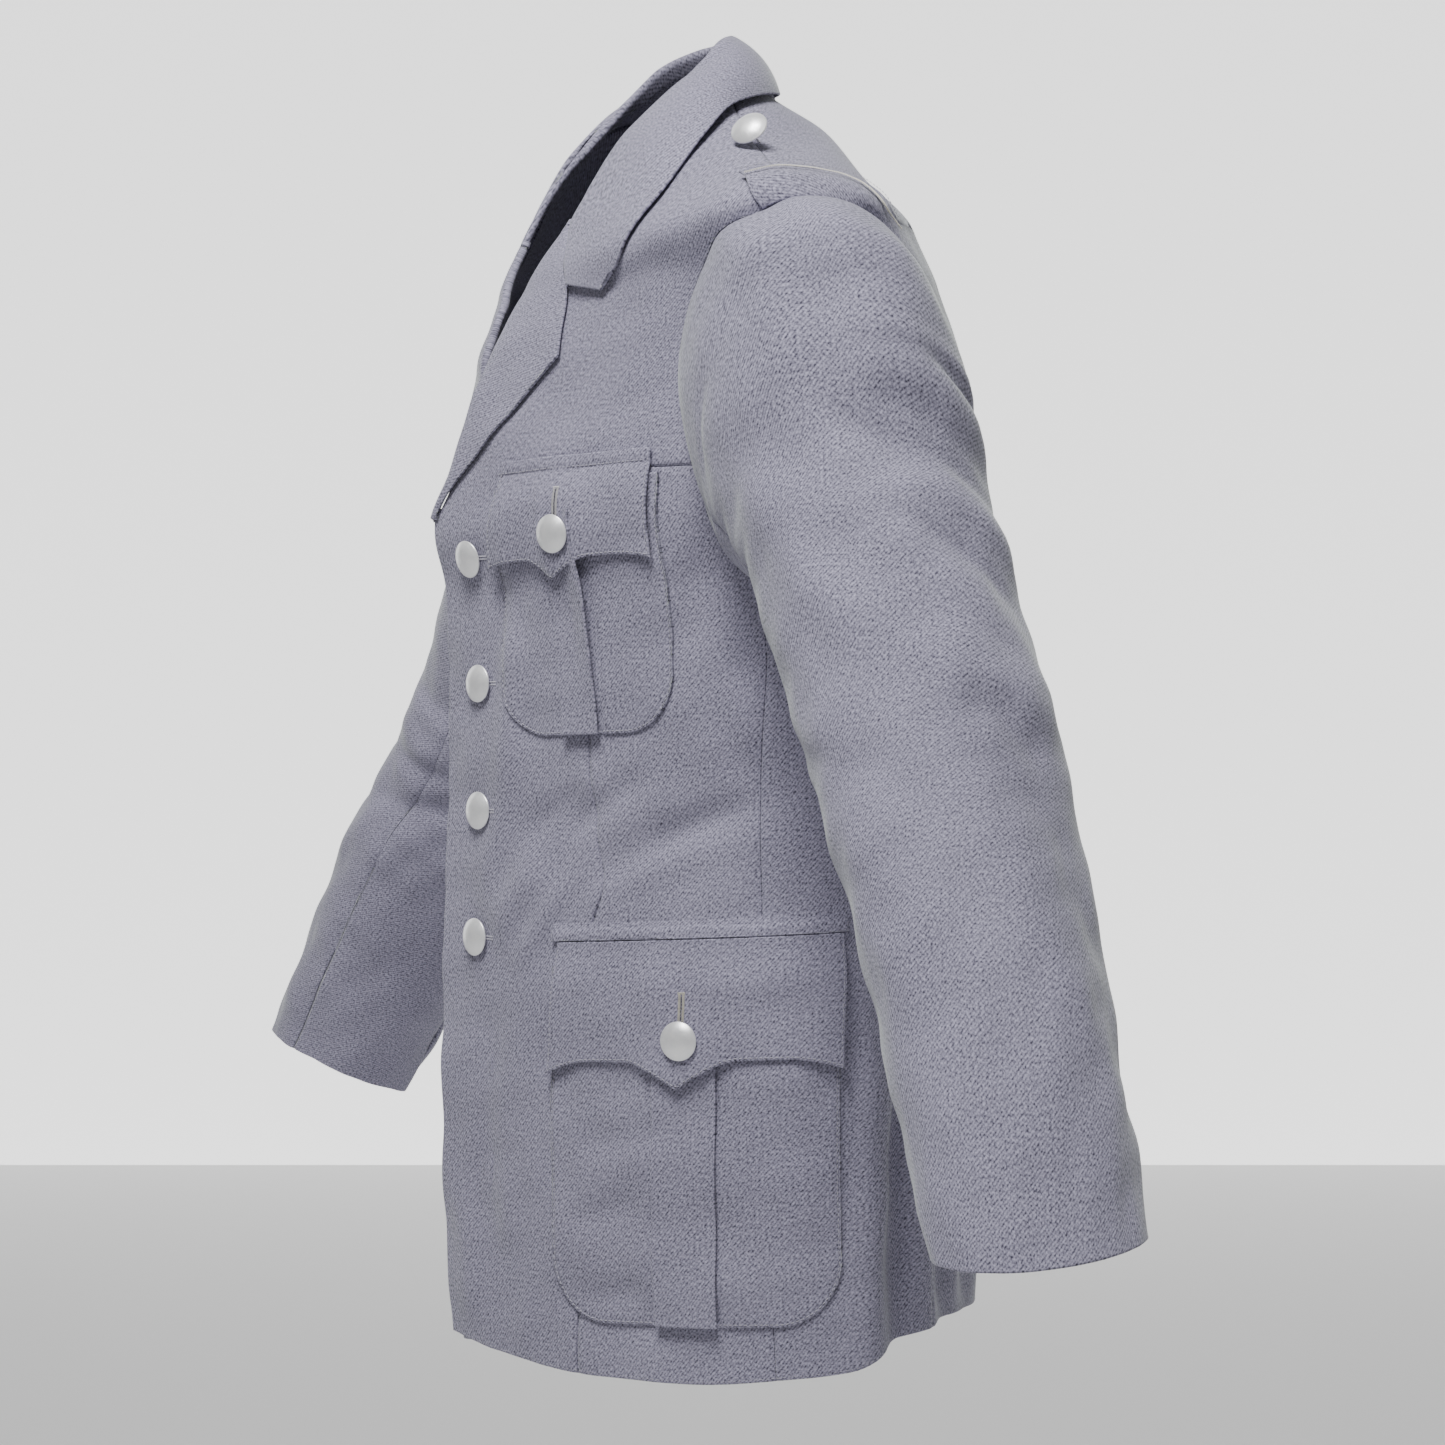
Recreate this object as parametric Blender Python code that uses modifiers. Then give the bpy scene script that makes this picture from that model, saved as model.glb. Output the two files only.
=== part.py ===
"""An army parade jacket in grey wool twill, filled out with nobody in it.

Frame: metres, +Z up, the wearer faces -Y and the wearer's left is +X. The origin is where the
wearer's neck and shoulders carry the jacket: on the middle plane, level with the neck seam.

Every panel is a patch of one of two surfaces. The body is a stack of rings, each a closed
outline with its own half width, front and back; a place on it is given as a tailor would, by
the distance round from the centre front and the level of the ring. A sleeve is a tube from
the armhole to the cuff. Each patch is the inner face of the cloth, and Solidify gives the
wall outwards. Pockets, flaps, lapels and loops are patches of the same body, lifted off it.
"""
import math

import bpy
import bmesh
import numpy as np
from mathutils import Vector

NAME = "parade_jacket"
WALL = 0.0018  # melton and canvas of a body panel
FACING_WALL = 0.0016  # a single ply that lies on a panel
SEAM = 0.00016  # half the gap between two pieces at a seam
HEM_LEVEL = -0.745
ARM_TIP = -0.088  # level of the shoulder's outer end
CHEST_SEAM = -0.231
BREAK = -0.253  # level where the lapel starts to roll
NECK_LEVEL = 0.0
BUTTON_RADIUS = 0.011
BUTTON_DEPTH = 0.0052

CLOTH_COLOUR = (0.330, 0.325, 0.385, 1)
BUTTON_COLOUR = (0.86, 0.87, 0.88, 1)

# The body's rings, from the hem up to the neck seam
RING_COLUMNS = ("level", "half_width", "front_y", "side_y", "back_y",
                "front_drop", "back_drop", "nose", "front_round", "back_round")
RINGS = (
    (-0.765, 0.200, -0.139, 0.010, 0.176, 0.000, 0.000, 1.20, 1.75, 1.62),
    (-0.700, 0.199, -0.142, 0.010, 0.173, 0.000, 0.000, 1.20, 1.75, 1.62),
    (-0.600, 0.197, -0.145, 0.008, 0.163, 0.000, 0.000, 1.20, 1.75, 1.70),
    (-0.500, 0.193, -0.144, 0.004, 0.148, 0.000, 0.000, 1.20, 1.75, 1.85),
    (-0.420, 0.190, -0.142, 0.000, 0.138, 0.000, 0.000, 1.20, 1.75, 2.00),
    (-0.350, 0.193, -0.142, 0.000, 0.140, 0.000, 0.000, 1.20, 1.75, 2.20),
    (-0.300, 0.197, -0.144, 0.000, 0.145, 0.000, 0.000, 1.21, 1.75, 2.20),
    (-0.260, 0.201, -0.151, 0.000, 0.148, 0.000, 0.000, 1.22, 1.75, 2.20),
    (-0.180, 0.208, -0.138, 0.000, 0.146, 0.004, 0.000, 1.25, 1.75, 2.10),
    (-0.120, 0.214, -0.119, -0.012, 0.130, 0.012, 0.002, 1.35, 1.85, 1.95),
    (-0.088, 0.215, -0.110, -0.034, 0.118, 0.027, 0.004, 1.50, 1.95, 1.90),
    (-0.060, 0.162, -0.104, -0.024, 0.098, 0.042, -0.006, 1.65, 2.00, 1.90),
    (-0.030, 0.105, -0.097, -0.014, 0.080, 0.058, -0.012, 1.80, 2.00, 2.00),
    (0.000, 0.066, -0.088, -0.006, 0.048, 0.070, 0.000, 2.00, 2.00, 2.00),
)

# Seams and edges, as the distance round from the centre front at each level
EDGE_COLUMNS = ("level", "round")
FRONT_EDGE = (
    (-0.765, -0.019), (-0.660, -0.022), (-0.480, -0.023), (-0.360, -0.021), (-0.253, -0.0205),
)
ROLL_LINE = (
    (-0.253, -0.0205), (-0.225, -0.0065), (-0.200, -0.001), (-0.175, 0.003), (-0.150, 0.009),
    (-0.120, 0.0165), (-0.090, 0.024), (-0.060, 0.032), (-0.030, 0.042), (-0.012, 0.048),
    (0.000, 0.053),
)
DART_SEAM = (
    (-0.765, 0.089), (-0.717, 0.091), (-0.600, 0.098), (-0.492, 0.104), (-0.471, 0.110),
    (-0.439, 0.104), (-0.412, 0.101), (-0.383, 0.100), (-0.200, 0.100),
)
SIDE_SEAM = (
    (-0.765, 0.217), (-0.714, 0.216), (-0.486, 0.210), (-0.419, 0.208), (-0.337, 0.212),
    (-0.286, 0.212),
)
BACK_SIDE_SEAM = (
    (-0.765, 0.327), (-0.600, 0.325), (-0.420, 0.313), (-0.300, 0.314), (-0.231, 0.3125),
)
HEM_COLUMNS = ("round", "rise")
HEM_LINE = (
    (-0.022, 0.007), (0.024, 0.0006), (0.089, -0.004), (0.165, -0.0025), (0.224, 0.0036),
    (0.260, 0.008), (0.280, 0.016), (0.300, 0.0215), (0.350, 0.0245), (0.440, 0.021), (0.540, 0.019),
)
HEM_FADE = 0.14  # height over which the hem's shape fades into level rings

# The armhole on the body: turn 0 is the shoulder's end, 90 the front, 180 under the arm
ARMHOLE_COLUMNS = ("turn", "round", "level")
ARMHOLE = (
    (0, 0.238, -0.0880), (20, 0.222, -0.0925), (40, 0.190, -0.1010), (60, 0.169, -0.134),
    (80, 0.164, -0.172), (100, 0.171, -0.205), (120, 0.184, -0.240), (140, 0.199, -0.275),
    (160, 0.222, -0.294), (180, 0.252, -0.298), (200, 0.282, -0.290), (220, 0.305, -0.262),
    (240, 0.314, -0.225), (260, 0.315, -0.185), (280, 0.310, -0.148), (300, 0.300, -0.118),
    (320, 0.286, -0.098), (340, 0.266, -0.089), (360, 0.238, -0.088),
)

# The sleeves: centre of each ring, its half sizes and how far it is tipped, in degrees
SLEEVE_COLUMNS = ("along", "x", "y", "z", "half_depth", "half_width", "out_rise", "front_rise")
LEFT_SLEEVE = (
    (0.00, 0.200, -0.004, -0.185, 0.078, 0.070, 40, 0),
    (0.30, 0.262, -0.011, -0.280, 0.069, 0.061, 34, 2),
    (0.50, 0.327, -0.0125, -0.383, 0.0665, 0.056, 32, 2),
    (0.70, 0.382, -0.017, -0.471, 0.062, 0.050, 24, 0),
    (1.00, 0.480, -0.035, -0.624, 0.053, 0.043, -3, -7),
)
RIGHT_SLEEVE = (
    (0.00, 0.200, -0.004, -0.185, 0.078, 0.070, 40, 0),
    (0.30, 0.262, 0.013, -0.280, 0.068, 0.061, 34, 2),
    (0.50, 0.327, 0.008, -0.383, 0.067, 0.056, 32, 8),
    (0.70, 0.385, -0.024, -0.471, 0.062, 0.050, 26, 16),
    (1.00, 0.480, -0.065, -0.622, 0.053, 0.043, 14, 22),
)
SLEEVE_HEAD = 0.30  # share of the sleeve's length over which the head turns into a tube
FRONT_SLEEVE_SEAM = 122  # turn of the seam on the inner front
BACK_SLEEVE_SEAM = 238
SLEEVE_GIRTH_PER_TURN = 0.068 * math.pi / 180  # metres of cloth for a degree of turn
SLEEVE_LENGTH = 0.56

# The largest folds: where, which way the crease runs, how long, how wide and how deep
FOLD_COLUMNS = ("round", "level", "slant", "length", "width", "depth")
LEFT_FOLDS = (
    (0.040, -0.365, 84, 0.100, 0.012, 0.0035),
    (0.050, -0.470, 50, 0.075, 0.012, 0.0045),
    (0.085, -0.440, 42, 0.060, 0.013, -0.0030),
    (0.150, -0.445, 28, 0.110, 0.018, -0.0040),
    (0.200, -0.320, 100, 0.080, 0.020, -0.0060),
    (0.000, -0.690, 96, 0.070, 0.012, 0.0030),
    (0.272, -0.640, 90, 0.220, 0.011, 0.0060),
    (0.298, -0.650, 88, 0.200, 0.013, -0.0065),
    (0.322, -0.640, 91, 0.200, 0.012, 0.0045),
    (0.352, -0.655, 90, 0.180, 0.016, -0.0060),
    (0.345, -0.440, 62, 0.090, 0.016, -0.0040),
    (0.440, -0.430, 20, 0.080, 0.014, -0.0030),
    (0.430, -0.640, 92, 0.180, 0.024, 0.0050),
    (0.380, -0.240, 70, 0.090, 0.016, -0.0040),
)
RIGHT_FOLDS = (
    (0.110, -0.100, 90, 0.150, 0.064, -0.0110),
    (0.105, -0.175, 90, 0.150, 0.060, -0.0070),
    (0.165, -0.150, 90, 0.160, 0.050, -0.0070),
    (0.060, -0.460, 46, 0.080, 0.013, 0.0040),
    (0.095, -0.430, 38, 0.060, 0.013, -0.0030),
    (0.160, -0.455, 24, 0.100, 0.018, -0.0035),
    (0.195, -0.330, 96, 0.090, 0.020, -0.0055),
    (0.276, -0.630, 91, 0.210, 0.012, 0.0050),
    (0.304, -0.650, 89, 0.190, 0.014, -0.0060),
    (0.330, -0.630, 92, 0.180, 0.012, 0.0040),
    (0.362, -0.660, 90, 0.170, 0.018, -0.0055),
    (0.350, -0.420, 58, 0.100, 0.016, -0.0040),
    (0.455, -0.450, 14, 0.090, 0.014, -0.0035),
    (0.450, -0.650, 88, 0.170, 0.026, 0.0050),
    (0.385, -0.225, 66, 0.080, 0.016, -0.0035),
)
SLEEVE_FOLD_COLUMNS = ("turn", "along", "slant", "length", "width", "depth")
LEFT_SLEEVE_FOLDS = (
    (355, 0.097, -20, 0.110, 0.0130, -0.0045),
    (335, 0.162, -6, 0.080, 0.0120, -0.0045),
    (338, 0.218, -15, 0.090, 0.0125, -0.0055),
    (346, 0.268, -18, 0.095, 0.0120, 0.0035),
    (338, 0.340, -23, 0.085, 0.0135, -0.0060),
    (344, 0.372, -30, 0.085, 0.0120, 0.0035),
    (11, 0.378, -43, 0.160, 0.0140, -0.0035),
    (41, 0.325, -64, 0.150, 0.0170, 0.0030),
    (66, 0.355, -70, 0.140, 0.0150, -0.0030),
    (342, 0.505, -19, 0.085, 0.0165, -0.0065),
    (349, 0.540, -44, 0.060, 0.0120, 0.0020),
    (180, 0.300, 8, 0.080, 0.0180, -0.0050),
)
RIGHT_SLEEVE_FOLDS = (
    (356, 0.100, -18, 0.105, 0.0130, -0.0040),
    (335, 0.168, -8, 0.080, 0.0120, -0.0042),
    (340, 0.226, -16, 0.085, 0.0125, -0.0050),
    (348, 0.278, -20, 0.090, 0.0120, 0.0035),
    (340, 0.352, -24, 0.080, 0.0135, -0.0050),
    (346, 0.384, -30, 0.080, 0.0120, 0.0030),
    (12, 0.390, -44, 0.150, 0.0140, -0.0030),
    (42, 0.335, -64, 0.150, 0.0170, 0.0028),
    (342, 0.515, -20, 0.080, 0.0165, -0.0055),
    (95, 0.520, 10, 0.080, 0.0170, -0.0050),
    (110, 0.460, -14, 0.080, 0.0160, 0.0040),
    (150, 0.580, -30, 0.120, 0.0220, 0.0030),
    (180, 0.290, 8, 0.080, 0.0180, -0.0050),
)

# The turned-down collar, from the centre back round to its front end
COLLAR_BACK_COLUMNS = ("share", "roll_x", "roll_y", "roll_z", "edge_x", "edge_y", "edge_z")
COLLAR_BACK = (
    (0.00, 0.000, 0.0225, 0.0400, 0.000, 0.0472, 0.0070),
    (0.12, 0.018, 0.0188, 0.0400, 0.0285, 0.0440, 0.0060),
    (0.24, 0.034, 0.0090, 0.0365, 0.055, 0.0320, 0.0020),
    (0.34, 0.0455, -0.0010, 0.0310, 0.0745, 0.0130, -0.0030),
    (0.46, 0.0540, -0.0155, 0.0165, 0.093, -0.0150, -0.0140),
    (0.58, 0.0525, -0.0330, -0.0035, 0.111, -0.0390, -0.0340),
    (0.66, 0.0480, -0.0500, -0.0220, 0.120, -0.0560, -0.0520),
    (0.76, 0.0420, -0.0690, -0.0415, 0.130, -0.0780, -0.0780),
)
COLLAR_FRONT_COLUMNS = ("share", "in_round", "in_level", "out_round", "out_level")
COLLAR_FRONT = (
    (0.46, 0.060, 0.000, 0.150, -0.020),
    (0.58, 0.055, 0.000, 0.144, -0.036),
    (0.70, 0.048, -0.012, 0.135, -0.056),
    (0.80, 0.044, -0.036, 0.128, -0.077),
    (0.90, 0.056, -0.072, 0.118, -0.098),
    (1.00, 0.0685, -0.110, 0.101, -0.121),
)
COLLAR_ON_BODY = (0.70, 0.80)  # between these shares the collar comes down on the chest
COLLAR_FLAT = (0.79, 0.87)  # and between these its fold flattens into the gorge seam
NECK_END = 0.80  # where the roll of the collar meets the neck seam
STAND_END = 0.66
STAND_CLEAR = 0.0024  # and starts this far above the inner edge of the neck
STAND_SHORT = 0.0020  # the stand stops this far under the roll
LIP_SHARE = 0.40  # most of the stand's height that the collar's fold reaches down inside it

# A fold's first rows, each a step across and a lift: over the stand, on the chest, and none
FOLD_OVER_STAND = ((-0.0009, -0.0095), (-0.0007, -0.0014), (0.0008, 0.0007),
                   (0.0024, -0.0014), (0.0046, -0.0066))
FOLD_ON_CHEST = ((0.0017, 0.0018), (-0.0002, 0.0020), (-0.0010, 0.0028),
                 (-0.0002, 0.0038), (0.0040, 0.0044))
NO_FOLD = ((0.0000, 0.0032), (0.0010, 0.0034), (0.0020, 0.0035), (0.0032, 0.0036), (0.0050, 0.0036))
ROLL_GAP = 0.0011  # from the front panel's edge to the fold of the lapel
NECK_CLEAR = 0.0120  # the front stops this much sooner under the collar
LEAF_EDGE_LIFT = 0.0039  # inner face of a lapel's edge over the inner face of the front

LAPEL_COLUMNS = ("level", "round")
LAPEL_EDGE = (  # most rows lie on the front's own rows
    (-0.2500, -0.0160), (-0.2415, -0.0100), (-0.231, 0.001), (-0.212, 0.022), (-0.192, 0.043),
    (-0.172, 0.062), (-0.160, 0.075), (-0.150, 0.0733), (-0.128, 0.0697), (-0.112, 0.0665),
    (-0.088, 0.0583), (-0.070, 0.0525), (-0.050, 0.0440), (-0.044, 0.0405),
)

# Pockets: the edges as distances round, the levels, and how far the top edge climbs outwards
POCKET_COLUMNS = ("left", "right", "top", "bottom", "corner", "climb", "flap_left", "flap_right",
                  "flap_top", "flap_side", "flap_dip", "flap_tip", "tip_round",
                  "pleat_width", "pleat_top_round", "pleat_foot_round", "button_level",
                  "button_round", "flap_lean")
POCKETS = {
    "breast": (0.036, 0.158, -0.236, -0.382, 0.032, 0.030, 0.0375, 0.153,
               -0.2215, -0.2830, 0.0030, -0.2915, 0.0875,
               0.026, 0.089, 0.097, -0.266,
               0.0915, 0.0100),
    "lower": (0.0755, 0.2545, -0.5105, -0.7150, 0.036, 0.052, 0.0765, 0.2560,
              -0.4970, -0.5730, 0.0070, -0.5815, 0.165,
              0.039, 0.167, 0.1655, -0.5535,
              0.1665, 0.0040),
}
FRONT_BUTTON_LEVELS = (-0.278, -0.352, -0.427, -0.5015)
FRONT_BUTTON_ROUND = 0.011
LOOP_WIDTH = 0.029
LOOP_INSET = 0.0035
LOOP_LIFT = 0.0066
LOOP_TURNS = (19, -58)  # from this turn of the armhole, over the shoulder, to this one
SHOULDER_BUTTON_LEVEL = -0.045
SHOULDER_BUTTON_AXIS = (0.515, -0.682, 0.520)
SHANK = 0.0100
SET_BACK = 0.019  # how much further back the right shoulder sits than the left one


def table(rows, columns):
    """Columns of a table by name."""
    values = np.array(rows, float)
    return {name: values[:, i] for i, name in enumerate(columns)}


def smooth_at(x, at, values):
    """Cubic through the values whose slopes are limited, so that it never overshoots."""
    at, values = np.asarray(at, float), np.asarray(values, float)
    step = np.diff(at)
    slope = np.diff(values) / step
    tangent = np.concatenate([slope[:1], np.zeros(len(slope) - 1), slope[-1:]])
    same = slope[:-1] * slope[1:] > 0
    before, after = 2 * step[1:] + step[:-1], step[1:] + 2 * step[:-1]
    tangent[1:-1][same] = (before + after)[same] / (
        before[same] / slope[:-1][same] + after[same] / slope[1:][same])
    x = np.clip(np.asarray(x, float), at[0], at[-1])
    i = np.clip(np.searchsorted(at, x) - 1, 0, len(at) - 2)
    t = (x - at[i]) / step[i]
    return ((1 + 2 * t) * (1 - t) ** 2 * values[i] + t * (1 - t) ** 2 * step[i] * tangent[i]
            + t * t * (3 - 2 * t) * values[i + 1] - t * t * (1 - t) * step[i] * tangent[i + 1])


def eased(x, first, last):
    """0 up to the first value, 1 from the last, and smooth between them."""
    t = np.clip((x - first) / (last - first), 0, 1)
    return t * t * (3 - 2 * t)


def edge_at(level, rows):
    """Distance round of a seam or an edge at a level."""
    t = table(rows, EDGE_COLUMNS)
    return smooth_at(level, t["level"], t["round"])


def unit(v):
    return v / np.maximum(np.linalg.norm(v, axis=-1, keepdims=True), 1e-12)


def grid_normals(points):
    """Outward normals of a grid whose columns run round to the left and whose rows climb."""
    return unit(np.cross(np.gradient(points, axis=1), np.gradient(points, axis=0)))


# The body

OVERLAP_FROM = 0.006  # the front edge runs on straight from here
RING_TABLE = table(RINGS, RING_COLUMNS)
BODY_LEVELS = np.linspace(RINGS[0][0], RINGS[-1][0], 300)
BODY_ROUNDS = np.linspace(-0.08, 1.0, 420)
RING_ANGLES = np.linspace(0, math.pi, 721)


def ring_at(level):
    return {c: float(smooth_at(level, RING_TABLE["level"], RING_TABLE[c])) for c in RING_COLUMNS}


def ring_outline(level):
    """Half of a ring, from the centre front to the centre back."""
    r = ring_at(level)
    c, s = np.cos(RING_ANGLES), np.sin(RING_ANGLES)
    front = c >= 0
    x = r["half_width"] * s ** np.where(front, 2 / r["nose"], 2 / r["back_round"])
    reach = np.where(front, r["front_y"] - r["side_y"], r["back_y"] - r["side_y"])
    y = r["side_y"] + reach * np.abs(c) ** np.where(front, 2 / r["front_round"], 2 / r["back_round"])
    z = r["level"] - c * c * np.where(front, r["front_drop"], r["back_drop"])
    return np.stack([x, y, z], -1)


def lengths_along(points):
    steps = np.linalg.norm(np.diff(points, axis=0), axis=1)
    return np.concatenate([[0.0], np.cumsum(steps)])


def ring_points(level, share):
    """Points of a ring at shares of its half girth; below nought the front edge runs straight on."""
    outline = ring_outline(level)
    along = lengths_along(outline)
    at = share * along[-1]
    points = np.stack([np.interp(at, along, outline[:, k]) for k in range(3)], -1)
    start = np.array([np.interp(OVERLAP_FROM, along, outline[:, k]) for k in range(3)])
    ahead = np.array([np.interp(2 * OVERLAP_FROM, along, outline[:, k]) for k in range(3)])
    straight = start + (at - OVERLAP_FROM)[:, None] * unit(ahead - start)
    return np.where((at < OVERLAP_FROM)[:, None], straight, points)


HALF_GIRTHS = np.array([lengths_along(ring_outline(level))[-1] for level in BODY_LEVELS])
SIDE_ROUNDS = np.array([lengths_along(ring_outline(level))[len(RING_ANGLES) // 2]
                        for level in BODY_LEVELS])


def set_back(points):
    """Places of the right half, mirrored to the left, with its shoulder set back."""
    x, level = points[..., 0], points[..., 2]
    share = eased(x, 0.030, 0.120) * eased(level, -0.300, -0.110)
    return points + (SET_BACK * share)[..., None] * (0, 1, 0)


def half_girth(level):
    return np.interp(level, BODY_LEVELS, HALF_GIRTHS)


def shoulder_seam(level):
    """Distance round of the ridge of the shoulder."""
    return np.interp(level, BODY_LEVELS, SIDE_ROUNDS)


def fold_height(round_, level, folds):
    """Sum of the folds: each is a soft ridge or trough along its crease."""
    height = np.zeros(np.broadcast(round_, level).shape)
    for row in folds:
        f = dict(zip(FOLD_COLUMNS, row))
        a = math.radians(f["slant"])
        dx, dy = round_ - f["round"], level - f["level"]
        along, across = dx * math.cos(a) + dy * math.sin(a), dy * math.cos(a) - dx * math.sin(a)
        height += f["depth"] * np.exp(-(across / f["width"]) ** 2 - (2 * along / f["length"]) ** 4)
    return height


def make_body(folds):
    """Inner face of the left half, and its outward normals, on a fine grid."""
    points = np.array([ring_points(level, BODY_ROUNDS) for level in BODY_LEVELS])
    rounds = BODY_ROUNDS[None, :] * HALF_GIRTHS[:, None]
    height = fold_height(rounds, BODY_LEVELS[:, None], folds)
    points = points + height[..., None] * grid_normals(points)
    return {"points": points, "normals": grid_normals(points)}


LAP_COLUMNS = ("level", "depth", "follow")
LAP = (  # how far the right front lies under the left one, and how nearly it follows its line
    (-0.765, 0.0036, 1.00), (-0.350, 0.0036, 1.00), (-0.310, 0.0040, 0.75), (-0.256, 0.0074, 0.25),
    (-0.215, 0.0074, 0.00), (-0.185, 0.0074, 0.00), (-0.150, 0.0000, 0.00), (0.000, 0.0000, 0.00),
)
LAP_REACH = (0.000, 0.045)  # the right front follows the left one to here, and is free of it by here
SINK_REACH = 0.045


def lap_under(body, over):
    """The right half, its front lying under the left front and just clear of it."""
    t = table(LAP, LAP_COLUMNS)
    level = np.repeat(BODY_LEVELS[:, None], len(BODY_ROUNDS), axis=1)
    round_ = BODY_ROUNDS[None, :] * HALF_GIRTHS[:, None]
    depth, follow = smooth_at(level, t["level"], t["depth"]), smooth_at(level, t["level"], t["follow"])
    across = body_at(over, -np.minimum(round_, 0.040), level) * (-1, 1, 1) + depth[..., None] * (0, 1, 0)
    sunk = body["points"] + (depth * (1 - eased(round_, 0, SINK_REACH)))[..., None] * (0, 1, 0)
    share = np.where(round_ < 0, 1, follow * (1 - eased(round_, *LAP_REACH)))[..., None]
    points = sunk * (1 - share) + across * share
    return {"points": points, "normals": grid_normals(points)}


def body_at(body, round_, level, lift=0.0):
    """Places on the body, lifted off its inner face."""
    round_, level = np.broadcast_arrays(np.asarray(round_, float), np.asarray(level, float))
    share = round_ / half_girth(level)
    i = np.interp(level, BODY_LEVELS, np.arange(len(BODY_LEVELS)))
    j = np.interp(share, BODY_ROUNDS, np.arange(len(BODY_ROUNDS)))
    i0 = np.minimum(i.astype(int), len(BODY_LEVELS) - 2)
    j0 = np.minimum(j.astype(int), len(BODY_ROUNDS) - 2)
    u, v = (i - i0)[..., None], (j - j0)[..., None]

    def mixed(values):
        return ((1 - u) * ((1 - v) * values[i0, j0] + v * values[i0, j0 + 1])
                + u * ((1 - v) * values[i0 + 1, j0] + v * values[i0 + 1, j0 + 1]))

    lift = np.asarray(lift, float)
    return mixed(body["points"]) + lift[..., None] * unit(mixed(body["normals"]))


def hem_level(level, round_):
    """A ring's level with the shape of the hem let in towards the bottom."""
    t = table(HEM_LINE, HEM_COLUMNS)
    rise = smooth_at(round_, t["round"], t["rise"])
    fade = np.clip(1 - (level - HEM_LEVEL) / HEM_FADE, 0, 1)
    return level + rise * fade


# The sleeves


def armhole_places(turn):
    """Distance round and level of the armhole at turns in degrees."""
    t = table(ARMHOLE, ARMHOLE_COLUMNS)
    at = np.asarray(turn, float) % 360
    last = len(ARMHOLE) - 1
    i = np.minimum(np.searchsorted(t["turn"], at, side="right") - 1, last - 1)
    u = (at - t["turn"][i]) / (t["turn"][i + 1] - t["turn"][i])

    def through(values):
        before, here = values[(i - 1) % last], values[i]
        there, after = values[i + 1], values[(i + 2) % last]
        return here + 0.5 * u * (there - before + u * (
            2 * before - 5 * here + 4 * there - after + u * (3 * (here - there) + after - before)))

    return through(t["round"]), through(t["level"])


ARMHOLE_CENTRE = (0.240, -0.190)
HEAD_LIFT = 0.0027  # the sleeve's inner face at the seam stands this far off the body's
HEAD_INSET = 0.0014  # and this far inside the armhole's line
HEAD_SWELL = {"left": (0.35, 0.10), "right": (0.00, 0.10)}  # how far the head swells forward and back


def sleeve_ring(t, turn, along):
    """Points of the sleeve's rings, each an ellipse in a tipped plane."""
    g = {c: smooth_at(along, t["along"], t[c]) for c in SLEEVE_COLUMNS}
    rise, front, a = np.radians(g["out_rise"]), np.radians(g["front_rise"]), np.radians(turn)
    out = np.stack([np.cos(rise), 0 * rise, np.sin(rise)], -1)
    ahead = np.stack([0 * front, -np.cos(front), np.sin(front)], -1)
    centre = np.stack([g["x"], g["y"], g["z"]], -1)
    return (centre + (g["half_width"] * np.cos(a))[..., None] * out
            + (g["half_depth"] * np.sin(a))[..., None] * ahead)


def sleeve_surface(body, rows, swell, turn, along):
    """Inner face of the left sleeve; turn 0 is on top, 90 in front, 180 under the arm."""
    turn, along = np.broadcast_arrays(np.asarray(turn, float), np.asarray(along, float))
    t = table(rows, SLEEVE_COLUMNS)
    tube = sleeve_ring(t, turn, np.maximum(along, SLEEVE_HEAD))
    end = sleeve_ring(t, turn, np.full(along.shape, SLEEVE_HEAD))
    down = unit(sleeve_ring(t, turn, np.full(along.shape, SLEEVE_HEAD + 0.01)) - end)
    round_, level = armhole_places(turn)
    inwards = unit(np.stack([ARMHOLE_CENTRE[0] - round_, ARMHOLE_CENTRE[1] - level], -1))
    seam = body_at(body, round_ + HEAD_INSET * inwards[..., 0], level + HEAD_INSET * inwards[..., 1],
                   HEAD_LIFT)
    a = np.radians(turn)
    sideways = np.where(np.sin(a) > 0, swell[0], swell[1]) * np.sin(a)
    away = unit(np.stack([0.72 + 0.22 * np.cos(a), -sideways, -0.40 + 0.45 * np.cos(a)], -1))
    reach = np.linalg.norm(end - seam, axis=-1, keepdims=True)
    u = np.clip(along / SLEEVE_HEAD, 0, 1)[..., None]
    head = ((1 + 2 * u) * (1 - u) ** 2 * seam + u * (1 - u) ** 2 * away * reach
            + u * u * (3 - 2 * u) * end - u * u * (1 - u) * down * reach)
    return np.where(along[..., None] < SLEEVE_HEAD, head, tube)


def sleeve_fold_height(turn, along, folds):
    height = np.zeros(np.broadcast(turn, along).shape)
    for row in folds:
        f = dict(zip(SLEEVE_FOLD_COLUMNS, row))
        a = math.radians(f["slant"])
        dx = ((turn - f["turn"] + 180) % 360 - 180) * SLEEVE_GIRTH_PER_TURN
        dy = (along - f["along"]) * SLEEVE_LENGTH
        on, across = dx * math.cos(a) + dy * math.sin(a), dy * math.cos(a) - dx * math.sin(a)
        height += f["depth"] * np.exp(-(across / f["width"]) ** 2 - (2 * on / f["length"]) ** 4)
    return height * np.clip(along / 0.12, 0, 1) * np.clip((1 - along) / 0.1, 0, 1)


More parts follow.
